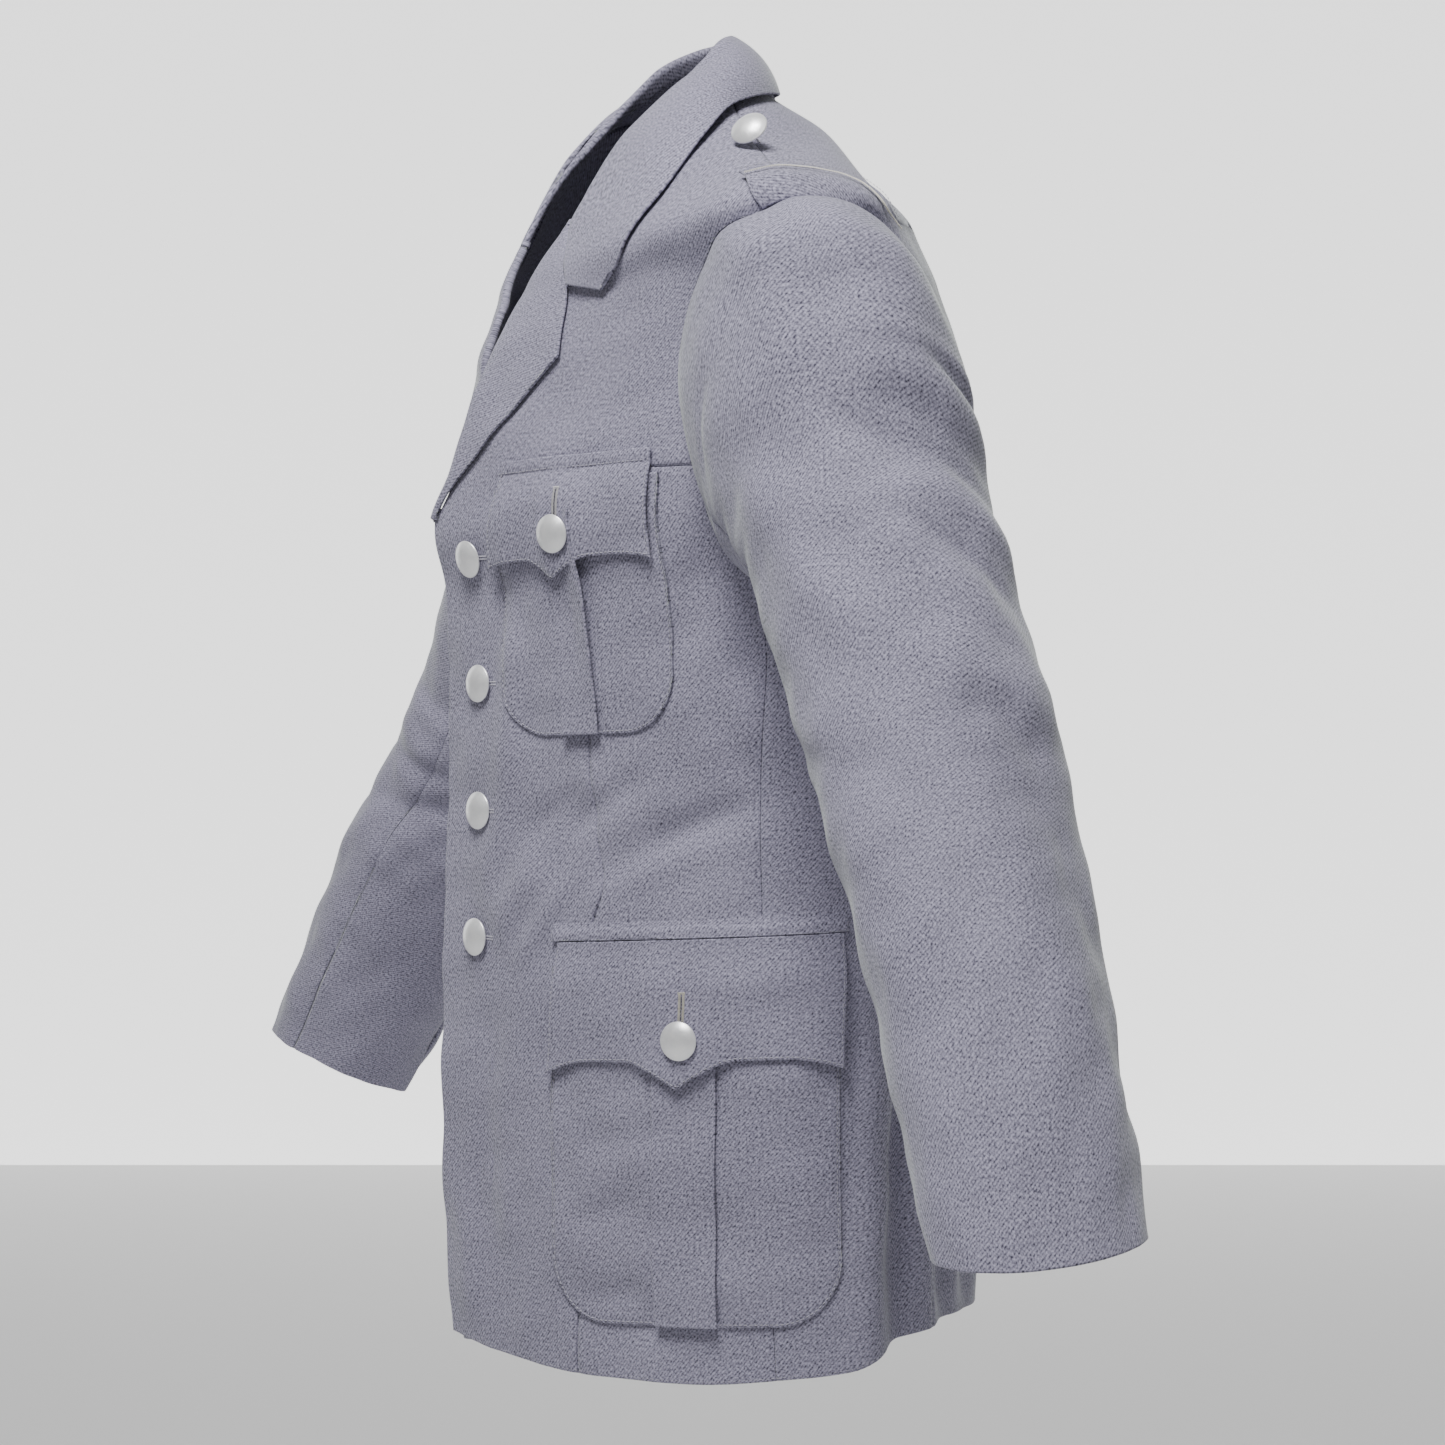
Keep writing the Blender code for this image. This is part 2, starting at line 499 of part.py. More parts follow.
def sleeve_at(body, rows, folds, swell, turn, along):
    """Inner face of the left sleeve with its folds."""
    turn, along = np.broadcast_arrays(np.asarray(turn, float), np.asarray(along, float))
    on = np.clip(along, 0.005, 0.995)

    def place(t, a):
        return sleeve_surface(body, rows, swell, t, a)

    outward = unit(np.cross(place(turn, on + 0.005) - place(turn, on - 0.005),
                            place(turn + 1, along) - place(turn - 1, along)))
    return place(turn, along) + sleeve_fold_height(turn, along, folds)[..., None] * outward


# Making the solids


def material(name, colour, roughness, metallic=0.0):
    made = bpy.data.materials.new(name)
    made.use_nodes = True
    shader = made.node_tree.nodes["Principled BSDF"]
    shader.inputs["Base Color"].default_value = colour
    shader.inputs["Roughness"].default_value = roughness
    shader.inputs["Metallic"].default_value = metallic
    return made


def cloth(name, points, wall=WALL, keep=None, mirror=False):
    """One piece of cloth: a grid laid on its inner face, with its wall outwards."""
    points = np.asarray(points, float)
    rows, columns = points.shape[:2]
    if mirror:
        points = set_back(points) * (-1, 1, 1)
    bm = bmesh.new()
    bmesh.ops.create_grid(bm, x_segments=columns - 1, y_segments=rows - 1, size=1)
    for v in bm.verts:
        column = round((v.co.x + 1) / 2 * (columns - 1))
        row = round((v.co.y + 1) / 2 * (rows - 1))
        v.co = points[row, column]
        v.index = row * columns + column
    if keep is not None:
        gone = [f for f in bm.faces if not keep(*divmod(min(v.index for v in f.verts), columns))]
        bmesh.ops.delete(bm, geom=gone, context="FACES")
    if mirror:
        bmesh.ops.reverse_faces(bm, faces=bm.faces)
    mesh = bpy.data.meshes.new(name)
    bm.to_mesh(mesh)
    bm.free()
    mesh.shade_smooth()
    piece = bpy.data.objects.new(name, mesh)
    collection.objects.link(piece)
    solid = piece.modifiers.new("wall", "SOLIDIFY")
    solid.thickness = wall
    solid.offset = 1
    solid.use_quality_normals = True
    mesh.materials.append(material(name, CLOTH_COLOUR, 0.9))
    return piece


def between(first, last, count):
    """Columns of a panel between its two edges, one row for each level."""
    share = np.linspace(0, 1, count)
    return first[:, None] * (1 - share) + last[:, None] * share


# Levels of the panels' rows; the chest seam and the shoulder's end have a row each
SKIRT_LEVELS = np.linspace(HEM_LEVEL, -0.50, 8)
WAIST_LEVELS = np.linspace(-0.50, BREAK, 9)
ARMHOLE_LOW = -0.305  # just under the foot of the armhole
CHEST_LEVELS = np.array([-0.212, -0.192, -0.170, -0.148, -0.128, -0.112, -0.101, -0.0935])
SHOULDER_LEVELS = np.array([ARM_TIP, -0.070, -0.050, -0.030, -0.012, NECK_LEVEL])
LOW_LEVELS = np.concatenate([SKIRT_LEVELS, WAIST_LEVELS[1:]])
HIGH_LEVELS = np.concatenate([CHEST_LEVELS, SHOULDER_LEVELS])
TURNS = np.linspace(0, 360, 721)


def armhole_edge(level, front):
    """Distance round of the armhole's front or back edge at a level."""
    turn = TURNS[(TURNS > 1) & (TURNS < 178)] if front else TURNS[(TURNS > 182) & (TURNS < 359)][::-1]
    round_, at = armhole_places(turn)
    order = np.argsort(at)
    return np.interp(level, at[order], round_[order])


def armhole_foot(round_):
    """Level of the armhole's lower edge at a distance round."""
    turn = TURNS[(TURNS > 120) & (TURNS < 240)]
    at, level = armhole_places(turn)
    return np.interp(round_, at, level)


FRONT_COLUMNS = (0, 0.07, 0.16, 0.26, 0.42, 0.60, 0.80, 1)  # closer at the edge and the middle


def front_piece(side, body, mirror):
    """From the front edge to the dart seam, and above the chest seam to the armhole."""
    levels = np.concatenate([LOW_LEVELS, [CHEST_SEAM], HIGH_LEVELS])
    seam_row = len(LOW_LEVELS)
    rolled = edge_at(levels, ROLL_LINE) + FOLD_ON_CHEST[0][0] + ROLL_GAP
    rolled += NECK_CLEAR * eased(levels, -0.080, -0.045)
    inner = np.where(levels <= BREAK, edge_at(levels, FRONT_EDGE), rolled)
    outer = np.where(levels < ARM_TIP - 1e-6, armhole_edge(levels, True), shoulder_seam(levels)) - SEAM
    share = (DART_SEAM[-1][1] - inner[seam_row]) / (outer[seam_row] - inner[seam_row])
    middle = np.where(levels <= CHEST_SEAM, edge_at(levels, DART_SEAM) - SEAM,
                      inner + share * (outer - inner))
    near = inner[:, None] + (middle - inner)[:, None] * np.array(FRONT_COLUMNS)
    far = between(middle, outer, 5)
    rounds = np.concatenate([near, far[:, 1:]], axis=1)
    rows = np.repeat(levels[:, None], rounds.shape[1], axis=1)
    rows[seam_row, near.shape[1]:] += SEAM
    rows = hem_level(rows, rounds)
    last = near.shape[1] - 1
    return cloth(side + "_front", body_at(body, rounds, rows), keep=lambda row, column: column < last or row >= seam_row,
                 mirror=mirror)


def front_side_piece(side, body, mirror):
    """Under the chest seam, between the dart seam and the side seam."""
    levels = np.concatenate([LOW_LEVELS, [CHEST_SEAM - SEAM]])
    top = SIDE_SEAM[-1][0]
    inner = edge_at(levels, DART_SEAM) + SEAM
    outer = np.where(levels < top, edge_at(levels, SIDE_SEAM), armhole_edge(levels, True)) - SEAM
    rounds = between(inner, outer, 6)
    rows = hem_level(np.repeat(levels[:, None], rounds.shape[1], axis=1), rounds)
    return cloth(side + "_front_side", body_at(body, rounds, rows), mirror=mirror)


def side_panel(side, body, mirror):
    """Under the arm, from the side seam to the seam at the side of the back."""
    share = np.linspace(0, 1, 7)
    low = LOW_LEVELS[LOW_LEVELS < ARMHOLE_LOW]
    rounds = between(edge_at(low, SIDE_SEAM) + SEAM, edge_at(low, BACK_SIDE_SEAM) - SEAM, 7)
    rows = hem_level(np.repeat(low[:, None], 7, axis=1), rounds)
    top_round = (SIDE_SEAM[-1][1] + SEAM) * (1 - share) + (BACK_SIDE_SEAM[-1][1] - SEAM) * share
    top = armhole_foot(top_round) - 0.0015
    for climbed in (0.375, 0.75, 1.0):
        rounds = np.vstack([rounds, rounds[len(low) - 1] * (1 - climbed) + top_round * climbed])
        rows = np.vstack([rows, rows[len(low) - 1] * (1 - climbed) + top * climbed])
    return cloth(side + "_side_panel", body_at(body, rounds, rows), mirror=mirror)


def back_piece(side, body, mirror):
    """From the side of the back to the centre seam, and up to the neck."""
    levels = np.concatenate([LOW_LEVELS, [CHEST_SEAM], HIGH_LEVELS])
    inner = np.where(levels < CHEST_SEAM - 1e-6, edge_at(levels, BACK_SIDE_SEAM),
                     np.where(levels < ARM_TIP - 1e-6, armhole_edge(levels, False),
                              shoulder_seam(levels))) + SEAM
    outer = half_girth(levels) - SEAM / 2
    rounds = between(inner, outer, 9)
    rows = hem_level(np.repeat(levels[:, None], rounds.shape[1], axis=1), rounds)
    return cloth(side + "_back", body_at(body, rounds, rows), mirror=mirror)


UPPER_TURNS = np.linspace(BACK_SLEEVE_SEAM - 360, FRONT_SLEEVE_SEAM, 17)
UNDER_TURNS = np.linspace(FRONT_SLEEVE_SEAM, BACK_SLEEVE_SEAM, 7)
SLEEVE_ROWS = np.concatenate([[0, 0.03, 0.07, 0.11], np.linspace(0.145, 0.57, 13),
                              np.linspace(0.66, 1, 4)])


def sleeve_pieces(side, body, rows, folds, mirror):
    """The upper sleeve goes over the arm and the under sleeve closes it inside."""
    gap = SEAM / 2 / (SLEEVE_GIRTH_PER_TURN * 0.75)
    for name, turns in (("_upper_sleeve", UPPER_TURNS), ("_under_sleeve", UNDER_TURNS)):
        turns = turns.copy()
        turns[0] += gap
        turns[-1] -= gap
        points = sleeve_at(body, rows, folds, HEAD_SWELL[side], turns[None, :], SLEEVE_ROWS[::-1, None])
        cloth(side + name, points[:, ::-1], mirror=mirror)


def lapel(side, body, mirror):
    """The turned-back facing, from its fold at the roll line out to its edge and the gorge."""
    t = table(LAPEL_EDGE, LAPEL_COLUMNS)
    levels, roll = t["level"], edge_at(t["level"], ROLL_LINE)
    width = (t["round"] - roll)[:, None]
    fold = np.array(FOLD_ON_CHEST)
    small = np.clip(width / 0.012, 0.3, 1)
    steps = fold[:, 0] * small
    leaf = np.linspace(0, 1, 6)[1:]
    steps = np.concatenate([steps, steps[:, -1:] + (width - steps[:, -1:]) * leaf], axis=1)
    lifts = np.concatenate([fold[:, 1], fold[-1, 1] + (LEAF_EDGE_LIFT - fold[-1, 1]) * leaf])
    rows = np.repeat(levels[:, None], steps.shape[1], axis=1)
    points = body_at(body, roll[:, None] + steps, rows, np.broadcast_to(lifts, steps.shape))
    return cloth(side + "_lapel", points, FACING_WALL, mirror=mirror)


COLLAR_SHARES = np.concatenate([np.linspace(0, 0.46, 7), np.linspace(0.52, 1.0, 9)])
COLLAR_BULGE = 0.0032


def neck_lines(body, share):
    """The roll of the collar and, under it, the neck seam."""
    t = table(COLLAR_BACK, COLLAR_BACK_COLUMNS)
    roll = np.stack([smooth_at(share, t["share"], t["roll_" + k]) for k in "xyz"], -1)
    round_ = np.interp(share, (0, NECK_END), (float(half_girth(NECK_LEVEL)), ROLL_LINE[-1][1]))
    return roll, body_at(body, round_, NECK_LEVEL) + (0, 0, STAND_CLEAR)


def collar_half(body, leaf):
    """Half of the fall, from the centre back to its left front end, fold first."""
    back, front = table(COLLAR_BACK, COLLAR_BACK_COLUMNS), table(COLLAR_FRONT, COLLAR_FRONT_COLUMNS)
    share = COLLAR_SHARES[None, :]

    def read(t, name):
        return smooth_at(share, t["share"], t[name])

    over, chest, flat = np.array(FOLD_OVER_STAND), np.array(FOLD_ON_CHEST), np.array(NO_FOLD)
    edge = np.stack([read(back, "edge_" + k) for k in "xyz"], -1)
    roll, foot = neck_lines(body, share)
    up = unit(roll - foot)
    out = unit(np.cross(up, np.gradient(roll, axis=1)))
    height = np.linalg.norm(roll - foot, axis=-1, keepdims=True)
    drops = np.maximum(over[:, None, 1:], -LIP_SHARE * height)
    folded = roll + over[:, None, :1] * out + drops * up
    w = leaf[:, None, None]
    swell = COLLAR_BULGE * (1 + share[..., None]) * 4 * w * (1 - w)
    hung = folded[-1:] * (1 - w) + edge * w + swell * out
    hung = np.concatenate([folded, hung])

    ends = [read(front, name) for name in COLLAR_FRONT_COLUMNS[1:]]
    length = np.hypot(ends[2] - ends[0], ends[3] - ends[1])
    level_out = eased(share, *COLLAR_FLAT)[..., None]
    first = chest[:, None] * (1 - level_out) + flat[:, None] * level_out
    steps = np.concatenate([first[..., 0], first[-1:, :, 0] + (length - first[-1:, :, 0]) * leaf[:, None]])
    lifts = np.concatenate([first[..., 1],
                            first[-1:, :, 1] + (LEAF_EDGE_LIFT - first[-1:, :, 1]) * leaf[:, None]])
    rounds = ends[0] + (ends[2] - ends[0]) / length * steps
    levels = ends[1] + (ends[3] - ends[1]) / length * steps
    laid = body_at(body, rounds, levels, lifts)
    mix = eased(share, *COLLAR_ON_BODY)[..., None]
    return hung * (1 - mix) + laid * mix


def collar_fall():
    """The turned-down collar in one piece, from one front end round the back to the other."""
    leaf = np.linspace(0, 1, 5)[1:]
    left = collar_half(LEFT_BODY, leaf)
    right = set_back(collar_half(RIGHT_BODY, leaf)) * (-1, 1, 1)
    points = np.concatenate([left[:, :0:-1], right], axis=1)
    cloth("collar_fall", points[::-1], FACING_WALL)


def stand_half(body, heights):
    """Half of the stand, from the neck seam up to the roll."""
    share = COLLAR_SHARES[COLLAR_SHARES < STAND_END]
    roll, foot = neck_lines(body, share)
    top = roll - STAND_SHORT * unit(roll - foot)
    return foot * (1 - heights[:, None, None]) + top * heights[:, None, None]


def collar_stand():
    heights = np.linspace(0, 1, 4)
    left = stand_half(LEFT_BODY, heights)
    right = set_back(stand_half(RIGHT_BODY, heights)) * (-1, 1, 1)
    points = np.concatenate([right[:, :0:-1], left], axis=1)
    cloth("collar_stand", points[:, ::-1], FACING_WALL)


# What lies on the panels

POCKET_LIFT = WALL + 0.0015
PLEAT_LIFT = POCKET_LIFT + FACING_WALL + 0.0008
FLAP_LIFT = PLEAT_LIFT + FACING_WALL + 0.0010


def pocket_row(kind):
    return dict(zip(POCKET_COLUMNS, POCKETS[kind]))


def pocket_bottom(p, round_):
    """Level of the pocket's lower edge: level in the middle and round at the corners."""
    inset = np.minimum(round_ - p["left"], p["right"] - round_)
    short = np.clip(p["corner"] - inset, 0, p["corner"])
    return p["bottom"] + p["corner"] - np.sqrt(p["corner"] ** 2 - short ** 2)


def climb(p, round_):
    return p["climb"] * (round_ - (p["left"] + p["right"]) / 2)


def corner_columns(p, count):
    """Columns of a pocket, closer together at its round corners."""
    c = p["corner"]
    ends = c * (1 - np.cos(np.radians([0, 30, 55, 75])))
    middle = np.linspace(p["left"] + c, p["right"] - c, count)
    return np.concatenate([p["left"] + ends, middle, (p["right"] - ends)[::-1]])


def pocket(side, kind, body, mirror):
    p = pocket_row(kind)
    rounds = corner_columns(p, 5 if kind == "breast" else 7)
    rise = np.linspace(0, 1, 6 if kind == "breast" else 7)[:, None]
    foot, top = pocket_bottom(p, rounds), p["top"]
    levels = foot * (1 - rise) + top * rise + climb(p, rounds)
    points = body_at(body, np.broadcast_to(rounds, levels.shape), levels, POCKET_LIFT)
    cloth(f"{side}_{kind}_pocket", points, FACING_WALL, mirror=mirror)


def pleat(side, kind, body, mirror):
    p = pocket_row(kind)
    across = np.linspace(-0.5, 0.5, 4) * p["pleat_width"]
    rise = np.linspace(0, 1, 8)[:, None]
    middle = p["pleat_foot_round"] * (1 - rise) + p["pleat_top_round"] * rise
    if mirror:
        middle = np.full_like(rise, p["pleat_top_round"])
    rounds = middle + across
    levels = p["bottom"] * (1 - rise) + (p["flap_side"] + 0.03) * rise + climb(p, rounds)
    points = body_at(body, rounds, levels, PLEAT_LIFT)
    cloth(f"{side}_{kind}_pleat", points, FACING_WALL, mirror=mirror)


def flap_bottom(p, round_):
    """Lower edge of a flap: low corners, two shallow scoops and a point in the middle."""
    half = np.where(round_ < p["tip_round"], p["tip_round"] - p["flap_left"],
                    p["flap_right"] - p["tip_round"])
    away = np.abs(round_ - p["tip_round"]) / half
    scoop = p["flap_side"] + p["flap_dip"]
    point = (p["flap_tip"] - scoop) * np.clip(1 - away / 0.36, 0, 1) ** 1.4
    corner = -p["flap_dip"] * np.clip((away - 0.66) / 0.34, 0, 1) ** 1.8
    return scoop + point + corner


def flap_lean(p, round_, rise):
    """The flap's front edge leans: its top lies further round than its foot."""
    return p["flap_lean"] * (rise - 0.5) * (p["flap_right"] - round_) / (p["flap_right"] - p["flap_left"])


FLAP_COLUMNS = (0, 0.12, 0.3, 0.5, 0.68, 0.8, 0.9, 1)


def flap(side, kind, body, mirror):
    p = pocket_row(kind)
    share = np.array(FLAP_COLUMNS)
    left = p["flap_left"] + (p["tip_round"] - p["flap_left"]) * share
    right = p["flap_right"] + (p["tip_round"] - p["flap_right"]) * share
    rounds = np.concatenate([left, right[-2::-1]])
    rise = np.linspace(0, 1, 5)[:, None]
    levels = flap_bottom(p, rounds) * (1 - rise) + p["flap_top"] * rise + climb(p, rounds)
    rounds = rounds + flap_lean(p, rounds, rise)
    top_share = np.clip((rise - 0.5) / 0.5, 0, 1)
    lift = FLAP_LIFT * (1 - top_share) + POCKET_LIFT * top_share
    under = levels > p["top"] + climb(p, rounds) - 0.004
    lift = np.where(under, lift, FLAP_LIFT)
    points = body_at(body, np.broadcast_to(rounds, levels.shape), levels,
                     np.broadcast_to(lift, levels.shape))
    cloth(f"{side}_{kind}_flap", points, FACING_WALL, mirror=mirror)


def shoulder_loop(side, body, mirror):
    """A strip over the shoulder beside the armhole, under which a shoulder board slides."""
    turn = np.linspace(*LOOP_TURNS, 15)[None, :]
    share = np.linspace(0, 1, 4)[:, None]
    round_, level = armhole_places(turn)
    seam = body_at(body, round_, level)
    up_ridge = np.array([-0.885, 0.0, 0.466])
    target = seam + (LOOP_INSET + LOOP_WIDTH * share)[..., None] * up_ridge
    points = drop_on_body(body, target, round_ + 0 * share, level + 0 * share)
    points = body_at(body, *points, LOOP_LIFT)
    cloth(side + "_shoulder_loop", points[::-1], FACING_WALL, mirror=mirror)


def drop_on_body(body, target, round_, level):
    """Places on the body nearest to some points, found by a few short steps."""
    step = 0.002
    for _ in range(12):
        here = body_at(body, round_, level)
        along_round = (body_at(body, round_ + step, level) - here) / step
        along_level = (body_at(body, round_, level + step) - here) / step
        miss = target - here
        a, b = (along_round ** 2).sum(-1), (along_round * along_level).sum(-1)
        c = (along_level ** 2).sum(-1)
        p, q = (miss * along_round).sum(-1), (miss * along_level).sum(-1)
        span = np.maximum(a * c - b * b, 1e-9)
        round_ = round_ + np.clip((p * c - q * b) / span, -0.01, 0.01)
        level = np.minimum(level + np.clip((q * a - p * b) / span, -0.01, 0.01), NECK_LEVEL)
    return round_, level


BUTTON_PROFILE = (  # radius and height as shares of the button's own
    (0.00, 1.00), (0.45, 0.90), (0.80, 0.62), (1.00, 0.26), (0.96, 0.08), (0.50, 0.00), (0.00, 0.00),
)
BUTTON_STEPS = 12


def button(name, place, outward, shank=0.0):
    """A domed metal button, turned about its own axis, with a shank where it stands off."""
    profile = [(r * BUTTON_RADIUS, shank + h * BUTTON_DEPTH) for r, h in BUTTON_PROFILE[:-1]]
    if shank:
        profile += [(0.0014, shank), (0.0014, 0.0), (0.0, 0.0)]
    else:
        profile += [(0.0, 0.0)]
    mesh = bpy.data.meshes.new(name)
    bm = bmesh.new()
    verts = [bm.verts.new((r, 0, h)) for r, h in profile]
    for a, b in zip(verts, verts[1:]):
        bm.edges.new((a, b))
    bm.to_mesh(mesh)
    bm.free()
    piece = bpy.data.objects.new(name, mesh)
    collection.objects.link(piece)
    turned = piece.modifiers.new("turned", "SCREW")
    turned.axis = "Z"
    turned.steps = BUTTON_STEPS
    turned.render_steps = BUTTON_STEPS
    turned.use_merge_vertices = True
    turned.merge_threshold = 0.00005
    turned.use_smooth_shade = True
    piece.location = Vector(place)
    piece.rotation_euler = Vector(outward).to_track_quat("Z", "Y").to_euler()
    mesh.materials.append(material(name, BUTTON_COLOUR, 0.35, 0.9))
    return piece


def button_on(name, body, round_, level, lift, mirror, shank=0.0, axis=None):
    place = body_at(body, round_, level, lift)
    outward = unit(body_at(body, round_, level, lift + 0.01) - place) if axis is None else axis
    side = (-1, 1, 1) if mirror else (1, 1, 1)
    place = set_back(place) if mirror else place
    return button(name, place * side, np.array(outward) * side, shank)


def buttons():
    for i, level in enumerate(FRONT_BUTTON_LEVELS):
        button_on(f"front_button_{i + 1}", LEFT_BODY, FRONT_BUTTON_ROUND, level, WALL + 0.0006, False)
    for side, body, mirror in SIDES:
        for kind in POCKETS:
            p = pocket_row(kind)
            button_on(f"{side}_{kind}_button", body, p["button_round"], p["button_level"],
                      FLAP_LIFT + FACING_WALL + 0.0006, mirror)
        seam = float(shoulder_seam(SHOULDER_BUTTON_LEVEL))
        button_on(f"{side}_shoulder_button", body, seam, SHOULDER_BUTTON_LEVEL, WALL + 0.0016, mirror,
                  SHANK, SHOULDER_BUTTON_AXIS)


for old in list(bpy.data.objects):
    bpy.data.objects.remove(old, do_unlink=True)
collection = bpy.data.collections.new(NAME)
bpy.context.scene.collection.children.link(collection)

LEFT_BODY = make_body(LEFT_FOLDS)
RIGHT_BODY = lap_under(make_body(RIGHT_FOLDS), LEFT_BODY)
SIDES = (("left", LEFT_BODY, False), ("right", RIGHT_BODY, True))
for side_name, side_body, mirrored in SIDES:
    front_piece(side_name, side_body, mirrored)
    front_side_piece(side_name, side_body, mirrored)
    side_panel(side_name, side_body, mirrored)
    back_piece(side_name, side_body, mirrored)
    lapel(side_name, side_body, mirrored)
    shoulder_loop(side_name, side_body, mirrored)
    for pocket_kind in POCKETS:
        pocket(side_name, pocket_kind, side_body, mirrored)
        pleat(side_name, pocket_kind, side_body, mirrored)
        flap(side_name, pocket_kind, side_body, mirrored)
sleeve_pieces("left", LEFT_BODY, LEFT_SLEEVE, LEFT_SLEEVE_FOLDS, False)
sleeve_pieces("right", RIGHT_BODY, RIGHT_SLEEVE, RIGHT_SLEEVE_FOLDS, True)
collar_fall()
collar_stand()
buttons()
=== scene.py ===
"""Looks of an army parade jacket in grey wool twill, filled out with nobody in it.

The pieces lie on the same surfaces as the solids: the body is a stack of rings on which a place
is given by the distance round from the centre front and a level, and a sleeve is a tube from
the armhole to the cuff. Here each piece of cloth is a finer sheet with the smaller creases, the
ditches of its seams and stitching, and a round edge.
"""
import math

import bmesh
import bpy
import numpy as np
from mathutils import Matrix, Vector


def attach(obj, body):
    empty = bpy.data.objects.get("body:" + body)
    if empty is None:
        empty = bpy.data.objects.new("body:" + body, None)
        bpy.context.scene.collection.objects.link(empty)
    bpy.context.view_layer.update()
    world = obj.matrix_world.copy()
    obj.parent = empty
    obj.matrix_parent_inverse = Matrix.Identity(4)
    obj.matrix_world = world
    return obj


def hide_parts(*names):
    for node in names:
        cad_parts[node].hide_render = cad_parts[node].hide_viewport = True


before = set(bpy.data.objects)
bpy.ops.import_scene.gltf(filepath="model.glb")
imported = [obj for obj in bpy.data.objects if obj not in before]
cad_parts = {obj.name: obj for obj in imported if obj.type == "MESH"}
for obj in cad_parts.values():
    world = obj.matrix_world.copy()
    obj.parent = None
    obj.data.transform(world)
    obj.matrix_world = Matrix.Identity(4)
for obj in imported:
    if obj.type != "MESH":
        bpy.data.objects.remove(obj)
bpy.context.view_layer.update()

WALL = 0.0018  # melton and canvas of a body panel
FACING_WALL = 0.0016  # a single ply that lies on a panel
SEAM = 0.00016  # half the gap between two pieces at a seam
HEM_LEVEL = -0.745
ARM_TIP = -0.088  # level of the shoulder's outer end
CHEST_SEAM = -0.231
BREAK = -0.253  # level where the lapel starts to roll
NECK_LEVEL = 0.0
BUTTON_RADIUS = 0.011
BUTTON_DEPTH = 0.0052

# The body's rings, from the hem up to the neck seam
RING_COLUMNS = ("level", "half_width", "front_y", "side_y", "back_y",
                "front_drop", "back_drop", "nose", "front_round", "back_round")
RINGS = (
    (-0.765, 0.200, -0.139, 0.010, 0.176, 0.000, 0.000, 1.20, 1.75, 1.62),
    (-0.700, 0.199, -0.142, 0.010, 0.173, 0.000, 0.000, 1.20, 1.75, 1.62),
    (-0.600, 0.197, -0.145, 0.008, 0.163, 0.000, 0.000, 1.20, 1.75, 1.70),
    (-0.500, 0.193, -0.144, 0.004, 0.148, 0.000, 0.000, 1.20, 1.75, 1.85),
    (-0.420, 0.190, -0.142, 0.000, 0.138, 0.000, 0.000, 1.20, 1.75, 2.00),
    (-0.350, 0.193, -0.142, 0.000, 0.140, 0.000, 0.000, 1.20, 1.75, 2.20),
    (-0.300, 0.197, -0.144, 0.000, 0.145, 0.000, 0.000, 1.21, 1.75, 2.20),
    (-0.260, 0.201, -0.151, 0.000, 0.148, 0.000, 0.000, 1.22, 1.75, 2.20),
    (-0.180, 0.208, -0.138, 0.000, 0.146, 0.004, 0.000, 1.25, 1.75, 2.10),
    (-0.120, 0.214, -0.119, -0.012, 0.130, 0.012, 0.002, 1.35, 1.85, 1.95),
    (-0.088, 0.215, -0.110, -0.034, 0.118, 0.027, 0.004, 1.50, 1.95, 1.90),
    (-0.060, 0.162, -0.104, -0.024, 0.098, 0.042, -0.006, 1.65, 2.00, 1.90),
    (-0.030, 0.105, -0.097, -0.014, 0.080, 0.058, -0.012, 1.80, 2.00, 2.00),
    (0.000, 0.066, -0.088, -0.006, 0.048, 0.070, 0.000, 2.00, 2.00, 2.00),
)

# Seams and edges, as the distance round from the centre front at each level
EDGE_COLUMNS = ("level", "round")
FRONT_EDGE = (
    (-0.765, -0.019), (-0.660, -0.022), (-0.480, -0.023), (-0.360, -0.021), (-0.253, -0.0205),
)
ROLL_LINE = (
    (-0.253, -0.0205), (-0.225, -0.0065), (-0.200, -0.001), (-0.175, 0.003), (-0.150, 0.009),
    (-0.120, 0.0165), (-0.090, 0.024), (-0.060, 0.032), (-0.030, 0.042), (-0.012, 0.048),
    (0.000, 0.053),
)
DART_SEAM = (
    (-0.765, 0.089), (-0.717, 0.091), (-0.600, 0.098), (-0.492, 0.104), (-0.471, 0.110),
    (-0.439, 0.104), (-0.412, 0.101), (-0.383, 0.100), (-0.200, 0.100),
)
SIDE_SEAM = (
    (-0.765, 0.217), (-0.714, 0.216), (-0.486, 0.210), (-0.419, 0.208), (-0.337, 0.212),
    (-0.286, 0.212),
)
BACK_SIDE_SEAM = (
    (-0.765, 0.327), (-0.600, 0.325), (-0.420, 0.313), (-0.300, 0.314), (-0.231, 0.3125),
)
HEM_COLUMNS = ("round", "rise")
HEM_LINE = (
    (-0.022, 0.007), (0.024, 0.0006), (0.089, -0.004), (0.165, -0.0025), (0.224, 0.0036),
    (0.260, 0.008), (0.280, 0.016), (0.300, 0.0215), (0.350, 0.0245), (0.440, 0.021), (0.540, 0.019),
)
HEM_FADE = 0.14  # height over which the hem's shape fades into level rings

